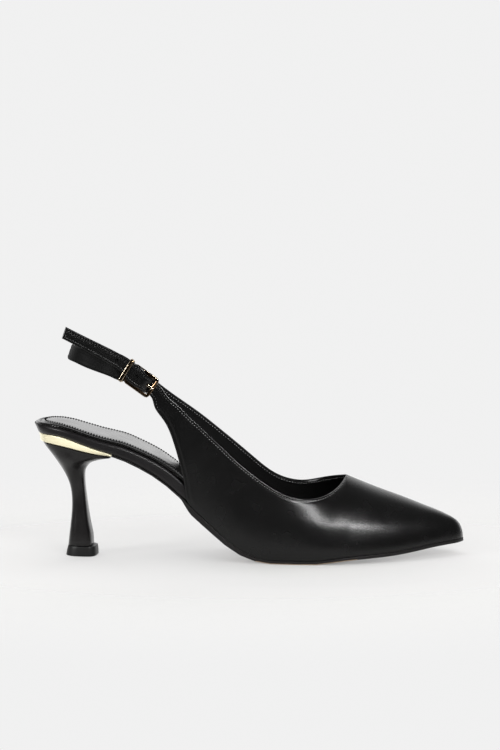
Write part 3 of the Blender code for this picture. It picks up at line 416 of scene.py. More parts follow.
def steady(xs, ys):
    """Curve through the points that never swings past them."""
    xs = np.asarray(xs, dtype=float)
    ys = np.asarray(ys, dtype=float)
    step = np.diff(xs)
    slope = np.diff(ys) / step
    tangent = np.zeros(len(xs))
    tangent[0] = slope[0]
    tangent[-1] = slope[-1]
    for i in range(1, len(xs) - 1):
        if slope[i - 1] * slope[i] > 0:
            before = 2 * step[i] + step[i - 1]
            after = step[i] + 2 * step[i - 1]
            tangent[i] = (before + after) / (before / slope[i - 1] + after / slope[i])

    def value(x):
        x = np.clip(np.asarray(x, dtype=float), xs[0], xs[-1])
        i = np.clip(np.searchsorted(xs, x) - 1, 0, len(xs) - 2)
        h = step[i]
        t = (x - xs[i]) / h
        return (
            (2 * t ** 3 - 3 * t ** 2 + 1) * ys[i]
            + (t ** 3 - 2 * t ** 2 + t) * h * tangent[i]
            + (3 * t ** 2 - 2 * t ** 3) * ys[i + 1]
            + (t ** 3 - t ** 2) * h * tangent[i + 1]
        )

    return value


def run(points):
    """Distance along the line at each of its points."""
    return np.concatenate([[0.0], np.cumsum(np.linalg.norm(np.diff(points, axis=0), axis=1))])


def smooth(rows, samples):
    """Natural cubic curve through the rows, spaced by their distance from each other."""
    rows = np.asarray(rows, dtype=float)
    count = len(rows)
    knots = run(rows[:, :3])
    step = np.diff(knots)
    matrix = np.eye(count)
    right = np.zeros((count, rows.shape[1]))
    for i in range(1, count - 1):
        matrix[i, i - 1] = step[i - 1]
        matrix[i, i] = 2 * (step[i - 1] + step[i])
        matrix[i, i + 1] = step[i]
        right[i] = 6 * ((rows[i + 1] - rows[i]) / step[i] - (rows[i] - rows[i - 1]) / step[i - 1])
    bend = np.linalg.solve(matrix, right)
    at = knots[-1] * np.asarray(samples, dtype=float)
    i = np.clip(np.searchsorted(knots, at) - 1, 0, count - 2)
    h = step[i][:, None]
    low = (knots[i + 1] - at)[:, None]
    high = (at - knots[i])[:, None]
    return (
        bend[i] * low ** 3 / (6 * h)
        + bend[i + 1] * high ** 3 / (6 * h)
        + (rows[i] / h - bend[i] * h / 6) * low
        + (rows[i + 1] / h - bend[i + 1] * h / 6) * high
    )


def along(share):
    return share * SHOE_LENGTH - SEAT_OVERHANG


flat_height = OUTSOLE_THICKNESS + SEAM_GAP
bed_height = steady(along(column(BED_LINE, 0)), flat_height + column(BED_LINE, 1) * HEEL_HEIGHT)
board_share = steady(along(column(BED_LINE, 0)), column(BED_LINE, 2))
edge_relief = steady(column(EDGE_RELIEF, 0) / 1000, column(EDGE_RELIEF, 1) / 1000)


def level(x, offset):
    """Height of a line at this distance from the bed line, square to it."""
    reach = 0.0004
    slope = (bed_height(x + reach) - bed_height(x - reach)) / (2 * reach)
    return bed_height(x) + offset * np.sqrt(1 + slope ** 2)


def sock_height(x):
    """Height of the sock's flat top."""
    return level(x, BOARD_THICKNESS * board_share(x) + SEAM_GAP + SOCK_THICKNESS)


def plan_curves(inset, samples=241):
    """Outer and inner edge of the plan, moved inward by the inset."""
    curves = []
    for index, sign in ((1, -1.0), (2, 1.0)):
        rows = np.column_stack([
            along(column(PLAN, 0)),
            sign * column(PLAN, index) * BALL_WIDTH,
            np.zeros(len(PLAN)),
        ])
        curves.append(smooth(rows, np.linspace(0, 1, samples))[:, :2])
    loop = np.vstack([curves[0], curves[1][::-1][1:-1]])
    ahead = np.roll(loop, -1, axis=0) - np.roll(loop, 1, axis=0)
    inward = np.column_stack([-ahead[:, 1], ahead[:, 0]])
    inward /= np.linalg.norm(inward, axis=1)[:, None]
    moved = loop + inward * inset
    half = len(curves[0])
    outer = moved[:half]
    inner = np.vstack([moved[0], moved[half:][::-1], moved[half - 1]])
    return outer, inner


def plan_edges(inset):
    """Functions of x for the outer and inner edge, and where they start and end."""
    outer, inner = plan_curves(inset)
    start = max(outer[:, 0].min(), inner[:, 0].min())
    end = min(outer[:, 0].max(), inner[:, 0].max())
    outer_x = np.maximum.accumulate(outer[:, 0])
    inner_x = np.maximum.accumulate(inner[:, 0])
    return (
        lambda x: np.interp(x, outer_x, outer[:, 1]),
        lambda x: np.interp(x, inner_x, inner[:, 1]),
        start, end,
    )


def buckle_axes():
    pitch = math.radians(BUCKLE_PITCH)
    fore = Vector((math.cos(pitch), -BUCKLE_SPREAD, -math.sin(pitch))).normalized()
    out = Vector((0.0, -1.0, BUCKLE_LEAN))
    out = (out - fore * out.dot(fore)).normalized()
    across = out.cross(fore).normalized()
    if across.z < 0:
        across = -across
    return fore, across, out


def buckle_point(a, b, n):
    """Point at these distances along, across and out from the buckle's middle."""
    fore, across, out = buckle_axes()
    middle = Vector(upper_point(BUCKLE_ALONG, BUCKLE_SIDE, BUCKLE_RISE, 1.0))
    return middle + fore * a + across * b + out * n


def upper_point(x_share, half, rise, sign):
    """Point at these shares of the last's sizes, on the side that the sign gives."""
    x = along(x_share)
    return np.array([x, sign * half * BALL_WIDTH, float(bed_height(x)) + rise * ANKLE_HEIGHT])


def strap_columns():
    rows = []
    for i, (a, b, n, width) in enumerate(HOLED_STRAP):
        skew = STRAP_TIP_SKEW if i == 0 else 0.0
        centre_a = a * BUCKLE_LENGTH
        centre_b = b * STRAP_WIDTH
        half = width * STRAP_WIDTH / 2
        top = buckle_point(centre_a - skew, centre_b + half, n * UPPER_WALL)
        low = buckle_point(centre_a + skew, centre_b - half, n * UPPER_WALL)
        rows.append(np.concatenate([top, low, [0.33, 0.0, 0.0, 0.33, 0.33, 0.33]]))
    return rows


def quarter_columns(table, sign, edge):
    rows = []
    for row in table:
        low = upper_point(row[0], row[1], row[2], sign)
        if row[2] == 0:
            low[1] = float(edge(low[0]))
        top = upper_point(row[3], row[4], row[5], sign)
        rows.append(np.concatenate([top, low, row[6:12]]))
    return rows


def vamp_columns(sign):
    rows = []
    for row in VAMP:
        top = upper_point(row[1], row[2] * sign, row[3], sign)
        low = upper_point(row[0], 0.0, 0.0, sign)
        rows.append(np.concatenate([top, low, row[4:10]]))
    return rows


def spaced(total, step, near):
    """Distances from 0 to the total, close together at the start."""
    rest = np.linspace(near[-1], total, max(2, int(round((total - near[-1]) / step)) + 1))
    return np.concatenate([near, rest[1:]])


def column_curve(row, sign, edge, t):
    """Points of one column at these shares, from its lower edge to its top."""
    top = row[0:3]
    low = row[3:6].copy()
    wall, bulge, lean, drop, fore, aft = row[6:12]
    if low[0] >= along(FEATHER_START) - 0.00001:
        low[1] = float(edge(low[0]))
        low[2] = float(bed_height(low[0]))
    rise = top[2] - low[2]
    shift = top[0] - low[0]
    across = top[1] - low[1]
    first = np.array([
        low[0] + fore * shift,
        low[1] + fore * across + sign * bulge * BALL_WIDTH,
        low[2] + wall * rise,
    ])
    second = np.array([
        top[0] - aft * shift,
        top[1] - fore * across + sign * lean * BALL_WIDTH,
        top[2] - drop * rise,
    ])
    t = np.asarray(t)[:, None]
    return (
        low * (1 - t) ** 3 + first * 3 * t * (1 - t) ** 2
        + second * 3 * t ** 2 * (1 - t) + top * t ** 3
    )


def upper_side(sign, rows_between=26):
    """Fine grid of one side of the upper, and the count of its columns behind the throat."""
    edges = plan_edges(0.0)
    edge = edges[0] if sign < 0 else edges[1]
    near = [step / 1000 for step in EDGE_STEPS]
    quarter = quarter_columns(OUTER_QUARTER if sign < 0 else INNER_QUARTER, sign, edge)
    behind = strap_columns() + quarter if sign < 0 else quarter
    columns = []
    split = 0
    for rows, step in ((behind, 0.0008), (vamp_columns(sign), 0.0009)):
        total = run(np.array(rows)[:, :3])[-1]
        found = smooth(rows, spaced(total, step, near) / total)
        columns.extend(found if not columns else found[1:])
        split = split or len(columns)
    fine = np.linspace(0, 1, 81)
    grid = []
    for i, row in enumerate(columns):
        curve = column_curve(row, sign, edge, fine)
        lengths = run(curve)
        total = lengths[-1]
        before = columns[max(i - 1, 0)][:3] - columns[min(i + 1, len(columns) - 1)][:3]
        down = curve[-1] - curve[-6]
        lean = np.linalg.norm(np.cross(before, down)) / (
            np.linalg.norm(before) * np.linalg.norm(down) + 1e-12)
        reach = np.array(near) / max(lean, 0.55)
        reach *= min(1.0, 0.25 * total / reach[-1])
        middle = np.linspace(reach[-1], total - reach[-1], rows_between + 1)[1:-1]
        at = np.concatenate([reach, middle, total - reach[::-1]])
        grid.append(column_curve(row, sign, edge, np.interp(at, lengths, fine)))
    return np.array(grid), split


def grid_normals(grid, towards):
    """Unit normals of a grid of points, turned to the side that the function gives."""
    ahead = np.gradient(grid, axis=0)
    upward = np.gradient(grid, axis=1)
    normals = np.cross(ahead, upward)
    normals /= np.linalg.norm(normals, axis=2)[:, :, None] + 1e-15
    wrong = (normals * towards(grid)).sum(axis=2) < 0
    normals[wrong] *= -1
    return normals


def from_middle(grid):
    """Rough outward direction of each point, from a line along the foot."""
    away = grid.copy()
    away[:, :, 0] = 0
    away[:, :, 2] = np.maximum(0, grid[:, :, 2] - bed_height(grid[:, :, 0])) * 0.35
    return away


def edge_distance(grid, lines):
    """Distance of each point of the grid from the nearest of these lines."""
    points = np.vstack([thicken(line) for line in lines])
    tree = KDTree(len(points))
    for i, point in enumerate(points):
        tree.insert(point, i)
    tree.balance()
    flat = grid.reshape(-1, 3)
    found = np.array([tree.find(point)[2] for point in flat])
    return found.reshape(grid.shape[:2])


def thicken(line, step=0.0002):
    """The same line with points at most this far apart."""
    line = np.asarray(line)
    lengths = run(line)
    at = np.linspace(0, lengths[-1], max(2, int(lengths[-1] / step)))
    return np.column_stack([np.interp(at, lengths, line[:, k]) for k in range(3)])


def soft_forms(grid):
    """Height of the soft troughs and ridges at each point of the outer side."""
    height = np.zeros(grid.shape[:2])
    for share, rise, long, wide, tall, turn in SOFT_FORMS:
        x = along(share)
        dx = (grid[:, :, 0] - x) * 1000
        dz = (grid[:, :, 2] - bed_height(x)) * 1000 - rise
        c, s = math.cos(math.radians(turn)), math.sin(math.radians(turn))
        ahead = dx * c + dz * s
        off = dz * c - dx * s
        height += tall / 1000 * np.exp(-(ahead / long) ** 2 - (off / wide) ** 2)
    return height


# Meshes


def grid_mesh(place):
    """Grid of faces through these points, from a plain grid."""
    across, upward = place.shape[0] - 1, place.shape[1] - 1
    shape = bmesh.new()
    bmesh.ops.create_grid(shape, x_segments=across, y_segments=upward, size=1.0)
    for vert in shape.verts:
        i = round((vert.co.x + 1) / 2 * across)
        j = round((vert.co.y + 1) / 2 * upward)
        vert.co = place[i, j]
    shape.normal_update()
    return shape


def face_outward(shape, sign):
    """Turns the faces so that the one farthest to this side faces it."""
    face = max(shape.faces, key=lambda f: f.calc_center_median().y * sign)
    if face.normal.y * sign < 0:
        bmesh.ops.reverse_faces(shape, faces=shape.faces)


def set_at(axes, point):
    """Matrix that turns to these axes and moves to the point."""
    place = Matrix(axes).transposed().to_4x4()
    place.translation = point
    return place


def join_shapes(shapes):
    """One bmesh from several, which are freed."""
    whole = bmesh.new()
    for shape in shapes:
        mesh = bpy.data.meshes.new("part")
        shape.to_mesh(mesh)
        shape.free()
        whole.from_mesh(mesh)
        bpy.data.meshes.remove(mesh)
    return whole


def make_object(name, shape, materials, sharp=50.0):
    mesh = bpy.data.meshes.new(name)
    shape.to_mesh(mesh)
    shape.free()
    for material in materials:
        mesh.materials.append(material)
    for polygon in mesh.polygons:
        polygon.use_smooth = True
    mesh.set_sharp_from_angle(angle=math.radians(sharp))
    obj = bpy.data.objects.new(name, mesh)
    bpy.context.scene.collection.objects.link(obj)
    return obj


def settle(obj, sharp=50.0):
    """Gives the object the mesh that its modifiers make."""
    graph = bpy.context.evaluated_depsgraph_get()
    mesh = bpy.data.meshes.new_from_object(obj.evaluated_get(graph))
    mesh.name = obj.name
    obj.modifiers.clear()
    obj.data = mesh
    mesh.set_sharp_from_angle(angle=math.radians(sharp))


def add_wall(obj, thickness, inner=0):
    wall = obj.modifiers.new("wall", "SOLIDIFY")
    wall.thickness = thickness
    wall.offset = -1.0
    wall.use_quality_normals = True
    wall.material_offset = inner


def add_bevel(obj, width, segments=3, angle=50.0):
    bevel = obj.modifiers.new("rounded", "BEVEL")
    bevel.width = width
    bevel.segments = segments
    bevel.limit_method = "ANGLE"
    bevel.angle_limit = math.radians(angle)
    return bevel


def finish_piece(obj, slot, *nodes):
    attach(obj, "root")
    if nodes:
        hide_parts(*nodes)


def finish_seam(name, seams, material, slot):
    finish_piece(make_object(name, seams, [finishes()[material]]), slot)


def node_shape(node, change=None):
    """Merged copy of a solid's mesh, with its pairs of triangles joined."""
    shape = bmesh.new()
    shape.from_mesh(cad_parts[node].data)
    bmesh.ops.remove_doubles(shape, verts=shape.verts, dist=0.000001)
    bmesh.ops.join_triangles(
        shape, faces=shape.faces, angle_face_threshold=math.radians(25),
        angle_shape_threshold=math.radians(70))
    for vert in shape.verts if change else ():
        vert.co = change(vert.co)
    return shape


def smooth_node(node, name, materials, crease=0.95):
    """Copy of a solid round the heel, subdivided, with its hard edges kept."""
    shape = node_shape(node, heel_set)
    creased = shape.edges.layers.float.new("crease_edge")
    for edge in shape.edges:
        if len(edge.link_faces) == 2 and edge.calc_face_angle(0) > math.radians(35.0):
            edge[creased] = crease
    obj = make_object(name, shape, materials, 40.0)
    fine = obj.modifiers.new("fine", "SUBSURF")
    fine.levels = 2
    fine.render_levels = 2
    settle(obj, 40.0)
    return obj


def held(share):
    return min(1.0, max(0.0, share))


def heel_set(point):
    """Set of the heel: its back drawn in under the seat, its foot turned to the inside."""
    x, y, z = point
    under = float(level(x, BOARD_THICKNESS * float(board_share(x)))) - z
    drawn = held(under / BOARD_THICKNESS) * min(1.0, z / 0.045)
    x += HEEL_DRAWN * drawn * held((0.012 - x) / 0.040) ** 1.5
    low = held(1 - z / 0.050) if x < 0.04 else 0.0
    x -= HEEL_FOOT_BACK * low ** 2 * held((0.008 - x) / 0.016)
    flare = held(1 - (z - LIFT_HEIGHT) / 0.018) if z > LIFT_HEIGHT else 0.0
    x += HEEL_FLARE * flare ** 2 * held((x + 0.002) / 0.007)
    turn = HEEL_TURN * min(1.0, 1.6 * low)
    return Vector((
        x * math.cos(turn) - y * math.sin(turn), x * math.sin(turn) + y * math.cos(turn), z))


def bevelled_node(
        node, name, materials, width, segments=3, angle=25.0, edge=-1, change=None):
    """Copy of a solid with its edges rounded, which may get a material of their own."""
    obj = make_object(name, node_shape(node, change), materials, 30.0)
    add_bevel(obj, width, segments, angle).material = edge
    settle(obj, 30.0)
    return obj


def stitch_row(shape, points, normals, settings, lift=0.2, thick=1.0):
    """Adds stitches along a line on a surface."""
    thread = settings.thickness * thick
    points = np.asarray(points)
    normals = np.asarray(normals)
    lengths = run(points)
    count = int(lengths[-1] / settings.pitch)
    for i in range(count):
        at = (i + 0.5) * lengths[-1] / count
        place = Vector([np.interp(at, lengths, points[:, k]) for k in range(3)])
        ahead = Vector([
            np.interp(at + 0.0004, lengths, points[:, k])
            - np.interp(at - 0.0004, lengths, points[:, k]) for k in range(3)
        ]).normalized()
        up = Vector([np.interp(at, lengths, normals[:, k]) for k in range(3)]).normalized()
        side = up.cross(ahead).normalized()
        up = ahead.cross(side)
        turn = set_at((ahead, side, up), place + up * thread * lift)
        size = Matrix.Diagonal((settings.length, thread, thread, 1.0))
        bmesh.ops.create_uvsphere(
            shape, u_segments=6, v_segments=4, radius=0.5, matrix=turn @ size)


def contour(grid, normals, distance, at, columns, from_top=True):
    """Line on the grid at this distance from the edge, one point for each column."""
    points = []
    ups = []
    for i in columns:
        order = range(grid.shape[1] - 1, 0, -1) if from_top else range(grid.shape[1] - 1)
        step = -1 if from_top else 1
        for j in order:
            a, b = distance[i, j], distance[i, j + step]
            if a <= at < b:
                t = (at - a) / (b - a)
                points.append(grid[i, j] * (1 - t) + grid[i, j + step] * t)
                ups.append(normals[i, j])
                break
    return points, ups


# Materials


def new_material(name, colour, roughness, metallic=0.0, specular=0.5, coat=0.0):
    """Material with its nodes, links and shader, and the object's coordinates."""
    material = bpy.data.materials.new(name)
    material.use_nodes = True
    material.diffuse_color = colour
    nodes = material.node_tree.nodes
    shader = nodes["Principled BSDF"]
    for socket, value in (
        ("Base Color", colour), ("Roughness", roughness), ("Metallic", metallic),
        ("Specular IOR Level", specular), ("Coat Weight", coat), ("Coat Roughness", 0.30),
    ):
        shader.inputs[socket].default_value = value
    place = add_node(nodes, "ShaderNodeTexCoord").outputs["Object"]
    return material, nodes, material.node_tree.links, shader, place


def add_node(nodes, kind, **values):
    node = nodes.new(kind)
    for name, value in values.items():
        setattr(node, name, value)
    return node


def add_noise(nodes, links, place, scale, detail=2.0):
    noise = add_node(nodes, "ShaderNodeTexNoise")
    noise.inputs["Scale"].default_value = scale
    noise.inputs["Detail"].default_value = detail
    links.new(place, noise.inputs["Vector"])
    return noise.outputs["Fac"]


def add_mapping(nodes, links, source, location, scale):
    mapping = add_node(nodes, "ShaderNodeMapping")
    mapping.inputs["Location"].default_value = location
    mapping.inputs["Scale"].default_value = scale
    links.new(source, mapping.inputs["Vector"])
    return mapping.outputs["Vector"]


def spread_to(nodes, links, source, low, high, from_low=0.0, from_high=1.0, ease="LINEAR"):
    """Value moved from one range to another."""
    spread = add_node(nodes, "ShaderNodeMapRange", interpolation_type=ease)
    for socket, value in (
        ("From Min", from_low), ("From Max", from_high), ("To Min", low), ("To Max", high),
    ):
        spread.inputs[socket].default_value = value
    links.new(source, spread.inputs["Value"])
    return spread.outputs["Result"]


def add_bumps(nodes, links, shader, layers):
    """Chain of bumps: each layer is an output, a strength and a distance."""
    last = None
    for source, strength, distance in layers:
        bump = add_node(nodes, "ShaderNodeBump")
        bump.inputs["Strength"].default_value = strength
        bump.inputs["Distance"].default_value = distance
        links.new(source, bump.inputs["Height"])
        if last:
            links.new(last, bump.inputs["Normal"])
        last = bump.outputs["Normal"]
    links.new(last, shader.inputs["Normal"])


def leather_material(name, colour, roughness, grain, depth, specular=0.5, coat=0.0):
    """Leather with a fine cell grain, soft pores and a finish that varies a little."""
    _, nodes, links, shader, place = new_material(
        name, colour, roughness, specular=specular, coat=coat)
    cells = add_node(nodes, "ShaderNodeTexVoronoi", feature="DISTANCE_TO_EDGE")
    cells.inputs["Scale"].default_value = 1 / grain
    links.new(place, cells.inputs["Vector"])
    creased = spread_to(nodes, links, cells.outputs["Distance"], 0.0, 1.0, 0.0, 0.25)
    pores = add_noise(nodes, links, place, 2.2 / grain, 3.0)
    waves = add_noise(nodes, links, place, 95.0, 1.5)
    gloss = spread_to(nodes, links, waves, roughness - 0.03, roughness + 0.04, 0.3, 0.7)
    links.new(gloss, shader.inputs["Roughness"])
    add_bumps(nodes, links, shader, [
        (waves, 0.15, 0.00012),
        (creased, 0.22 * depth, 0.00003),
        (pores, 0.32 * depth, 0.00003),
    ])


def metal_material(name, colour, roughness, brushed, metallic=1.0):
    """Polished metal with a fine brushed trace and small changes of its gloss."""
    _, nodes, links, shader, place = new_material(name, colour, roughness, metallic)
    stretched = add_mapping(
        nodes, links, place, (0.0, 0.0, 0.0), (brushed, brushed, 12 * brushed))
    trace = add_noise(nodes, links, stretched, 120.0, 3.0)
    gloss = spread_to(nodes, links, trace, roughness - 0.04, roughness + 0.05)
    links.new(gloss, shader.inputs["Roughness"])
    add_bumps(nodes, links, shader, [(trace, 0.04, 0.00001)])


def speckled_material(name, colour, roughness, specular, scale, strength, distance):
    """Rubber with a moulded roughness, or thread with its twist."""
    _, nodes, links, shader, place = new_material(name, colour, roughness, specular=specular)
    speckle = add_noise(nodes, links, place, scale)
    add_bumps(nodes, links, shader, [(speckle, strength, distance)])


def rubber_material(name, colour, roughness):
    speckled_material(name, colour, roughness, 0.35, 1500.0, 0.35, 0.00005)


def thread_material(name, colour, roughness=0.42, specular=0.6):
    speckled_material(name, colour, roughness, specular, 6000.0, 0.5, 0.00004)


def finishes():
    """The object's materials, made once."""
    made = bpy.data.materials
    if "leather_upper" not in made:
        leather = bpy.context.scene.pump_leather
        metal = bpy.context.scene.pump_metal
        leather_material(
            "leather_upper", leather.colour, leather.roughness, leather.grain, 1.0, 0.42, 0.10)
        leather_material(
            "leather_strap", leather.colour, leather.roughness, leather.grain, 1.3, 0.42, 0.10)
        leather_material("leather_lining", leather.lining, 0.60, 0.0006, 1.0, 0.14)
        leather_material("leather_band", (0.006, 0.0055, 0.0058, 1), 0.34, 0.0005, 0.5, 0.40)
        leather_material("leather_sock", leather.lining, 0.21, 0.0007, 0.25, 0.5, 0.2)
        leather_material("heel_satin", (0.0060, 0.0055, 0.0055, 1), 0.24, 0.0012, 0.2, 0.45)
        rubber_material("rubber_sole", (0.006, 0.0055, 0.0055, 1), 0.36)
        rubber_material("rubber_tread", (0.27, 0.19, 0.125, 1), 0.65)
        rubber_material("rubber_lift", (0.005, 0.005, 0.005, 1), 0.42)
        metal_material("gold_plate", metal.plate, metal.roughness + 0.20, 1.0, 0.45)
        # Dark faces and pale edges of one gold metal: painted shade on the faces, painted
        # highlight on the bevels
        metal_material("gold_buckle", metal.buckle, metal.roughness + 0.04, 2.0)
        metal_material("gold_edge", metal.edge, metal.roughness + 0.08, 2.0)
        thread_material("thread_seam", bpy.context.scene.pump_stitching.colour)
        thread_material("thread_strap", (0.055, 0.055, 0.055, 1))
        thread_material("thread_sock", (0.004, 0.004, 0.004, 1), 0.9, 0.05)
    return made


# Pieces


class PUMP_OT_upper(bpy.types.Operator):
    """Make the upper with its quarters, vamp, holed strap, folded edges and stitching"""
    bl_idname = "pump.upper"
    bl_label = "Upper"

    def execute(self, context):
        made = finishes()
        settings = context.scene.pump_stitching
        shapes = []
        seams = bmesh.new()
        strap_seams = bmesh.new()
        for sign in (-1.0, 1.0):
            grid, split = upper_side(sign)
            normals = grid_normals(grid, from_middle)
            feather = int(np.argmax(grid[:, 0, 0] >= along(FEATHER_START) - 0.00001))
            topline = grid[:split, -1]
            back = grid[:feather + 1, 0]
            tip = grid[0]
            distance = edge_distance(grid, [topline, back, tip])
            strap_end = int(np.argmax(grid[:, 0, 0] > along(0.290))) if sign < 0 else 0
            band = edge_distance(grid, [grid[strap_end:feather + 1, 0]]) * 1000
            height = edge_relief(distance) + 0.00014 * np.exp(-((band - 3.3) / 0.7) ** 2)
            if sign < 0:
                height += soft_forms(grid)
            raised = grid + normals * height[:, :, None]
            raised[split:, -1] = grid[split:, -1]
            shape = grid_mesh(raised)
            face_outward(shape, sign)
            shapes.append(shape)
            margin = settings.margin
            points, ups = contour(raised, normals, distance, margin, range(strap_end, len(grid)))
            stitch_row(seams, points, ups, settings)
            stitch_row(
                seams, np.array(points) - np.array(ups) * UPPER_WALL, -np.array(ups), settings)
            if sign < 0:
                for from_top in (True, False):
                    stitch_row(strap_seams, *contour(
                        raised, normals, distance, margin, range(strap_end), from_top),
                        settings, 0.1, 0.9)
                across = int(np.argmin(abs(distance[:60, grid.shape[1] // 2] - margin)))
                kept = distance[across] > 0.9 * margin
                stitch_row(
                    strap_seams, raised[across][kept], normals[across][kept], settings, 0.1, 0.9)
        whole = join_shapes(shapes)
        bmesh.ops.remove_doubles(whole, verts=whole.verts, dist=0.00002)
        upper = make_object("upper_shell", whole, [made["leather_upper"], made["leather_lining"]])
        add_wall(upper, UPPER_WALL, inner=1)
        add_bevel(upper, 0.00016, 2, 60.0)
        settle(upper)
        self.punch(upper, made)
        finish_piece(upper, "upper_leather", "upper")
        finish_seam("upper_seams", seams, "thread_seam", "upper_leather")
        finish_seam("strap_seams", strap_seams, "thread_strap", "upper_leather")
        return {"FINISHED"}

    def punch(self, upper, made):
        """Cuts the strap's holes and the way for the prong."""
        axes = buckle_axes()
        table = np.array(HOLED_STRAP)
        cutter = bmesh.new()
        for share in STRAP_HOLES:
            b = float(np.interp(share, table[:, 0], table[:, 1])) * STRAP_WIDTH
            n = float(np.interp(share, table[:, 0], table[:, 2])) * UPPER_WALL
            bmesh.ops.create_cone(
                cutter, cap_ends=True, segments=24, radius1=HOLE_DIAMETER / 2,
                radius2=HOLE_DIAMETER / 2, depth=1.7 * UPPER_WALL,
                matrix=set_at(axes, buckle_point(share * BUCKLE_LENGTH, b, n)))
        low = PRONG_HOLE_FROM * BUCKLE_LENGTH
        high = PRONG_HOLE_TO * BUCKLE_LENGTH
        place = set_at(axes, buckle_point((low + high) / 2, 0, PRONG_OUT))
        size = Matrix.Diagonal((
            high - low, PRONG_WIDTH + 2 * PRONG_HOLE_GAP,
            PRONG_THICKNESS + 2 * PRONG_HOLE_GAP, 1.0))
        bmesh.ops.create_cube(cutter, size=1.0, matrix=place @ size)
        bmesh.ops.recalc_face_normals(cutter, faces=cutter.faces)
        tool = make_object("punch", cutter, [made["leather_lining"]])
        hole = upper.modifiers.new("holes", "BOOLEAN")
        hole.operation = "DIFFERENCE"
        hole.solver = "EXACT"
        hole.object = tool
        settle(upper)
        bpy.data.objects.remove(tool, do_unlink=True)


class PUMP_OT_back_strap(bpy.types.Operator):
    """Make the back strap, from its eye round the buckle's bar to the inner quarter"""
    bl_idname = "pump.back_strap"
    bl_label = "Back strap"

    def execute(self, context):
        made = finishes()
        course = self.course()
        steps = np.array([0.0, 0.35, 0.7, 1.1, 1.5, 1.9, 2.3, 2.8]) / 1000
        grid = []
        for centre, up, out, half in course:
            near = steps * min(1.0, 0.9 * half / steps[-1])
            reach = np.concatenate([half - near, [0.0], near[::-1] - half])
            off = half - np.abs(reach)
            line = centre + up * reach[:, None] + out * BACK_STRAP_THICKNESS / 2
            grid.append(line + out * edge_relief(off)[:, None])
        shape = grid_mesh(np.array(grid))
        face_outward(shape, -1.0)
        fore, across, out = buckle_axes()
        middle = buckle_point(BUCKLE_PIVOT, 0, 0)
        slot = []
        for face in shape.faces:
            reach = face.calc_center_median() - middle
            if (
                reach.length < 0.008 and -0.0026 < reach.dot(fore) < 0.004
                and abs(reach.dot(across)) < PRONG_WIDTH / 2 + 0.0005
            ):
                slot.append(face)
        bmesh.ops.delete(shape, geom=slot, context="FACES")
        strap = make_object(
            "back_strap_leather", shape, [made["leather_strap"], made["leather_lining"]])
        add_wall(strap, BACK_STRAP_THICKNESS, inner=1)
        add_bevel(strap, 0.00022, 2, 60.0)
        settle(strap)
        finish_piece(strap, "upper_leather", "back_strap")
        seams = bmesh.new()
        for sign in (1.0, -1.0):
            points = []
            facing = []
            for centre, up, out, half in course[30:-16]:
                lift = BACK_STRAP_THICKNESS / 2 - 0.00005
                points.append(centre + up * sign * (half - 0.0014) + out * lift)
                facing.append(out)
            stitch_row(seams, points, facing, context.scene.pump_stitching)
        finish_seam("back_strap_seams", seams, "thread_strap", "upper_leather")
        return {"FINISHED"}

    def course(self):
        """The strap's middle points, each with its upward and outward way and half width."""
        across = buckle_axes()[1]
        radius = BUCKLE_BAR_THICKNESS / 2 + PIVOT_GAP + BACK_STRAP_THICKNESS / 2
        turn_back = BUCKLE_PIVOT - BUCKLE_BAR_THICKNESS / 2
        rows = [
            (turn_back - BACK_STRAP_THICKNESS, 0.0, radius, EYE_WIDTH),
            (turn_back, 0.0, radius, EYE_WIDTH),
        ]
        for i in range(9):
            turn = math.pi / 2 - math.pi * i / 8
            rows.append((
                BUCKLE_PIVOT + radius * math.cos(turn), 0.0, radius * math.sin(turn), EYE_WIDTH))
        rows.append((turn_back, 0.0, -radius, EYE_WIDTH))
        for a, b, n, width in BACK_STRAP_NEAR:
            rows.append((
                a * BUCKLE_LENGTH, b * BACK_STRAP_WIDTH, n * BACK_STRAP_THICKNESS, width))
        path = []
        for a, b, n, width in rows:
            path.append([*buckle_point(a, b, n), width * BACK_STRAP_WIDTH / 2, BUCKLE_LEAN])
        for share, side, rise, lean in BACK_STRAP_LOOP:
            path.append([*upper_point(share, side, rise, 1.0), BACK_STRAP_WIDTH / 2, lean])
        path = np.array(path)
        joint = len(rows) - 3
        eye = smooth(path[:joint + 1], np.linspace(0, 1, 31))[:-1]
        loop = smooth(path[joint:], np.linspace(0, 1, 220))
        fine = np.vstack([eye, loop])
        ahead = np.gradient(fine[:, :3], axis=0)
        ahead /= np.linalg.norm(ahead, axis=1)[:, None]
        middle = Vector((along(LOOP_MIDDLE), 0.0, 0.0))
        turned = 220 * 8 / 40
        course = []
        for i, row in enumerate(fine):
            tangent = Vector(ahead[i])
            inward = middle - Vector(row[:3])
            inward.z = 0
            inward.normalize()
            upright = (Vector((0, 0, 1)) + inward * float(row[4])).normalized()
            share = held((i - len(eye)) / turned)
            up = across * (1 - share) + upright * share
            up = (up - tangent * up.dot(tangent)).normalized()
            out = -tangent.cross(up).normalized()
            course.append((row[:3], np.array(up), np.array(out), row[3]))
        return course


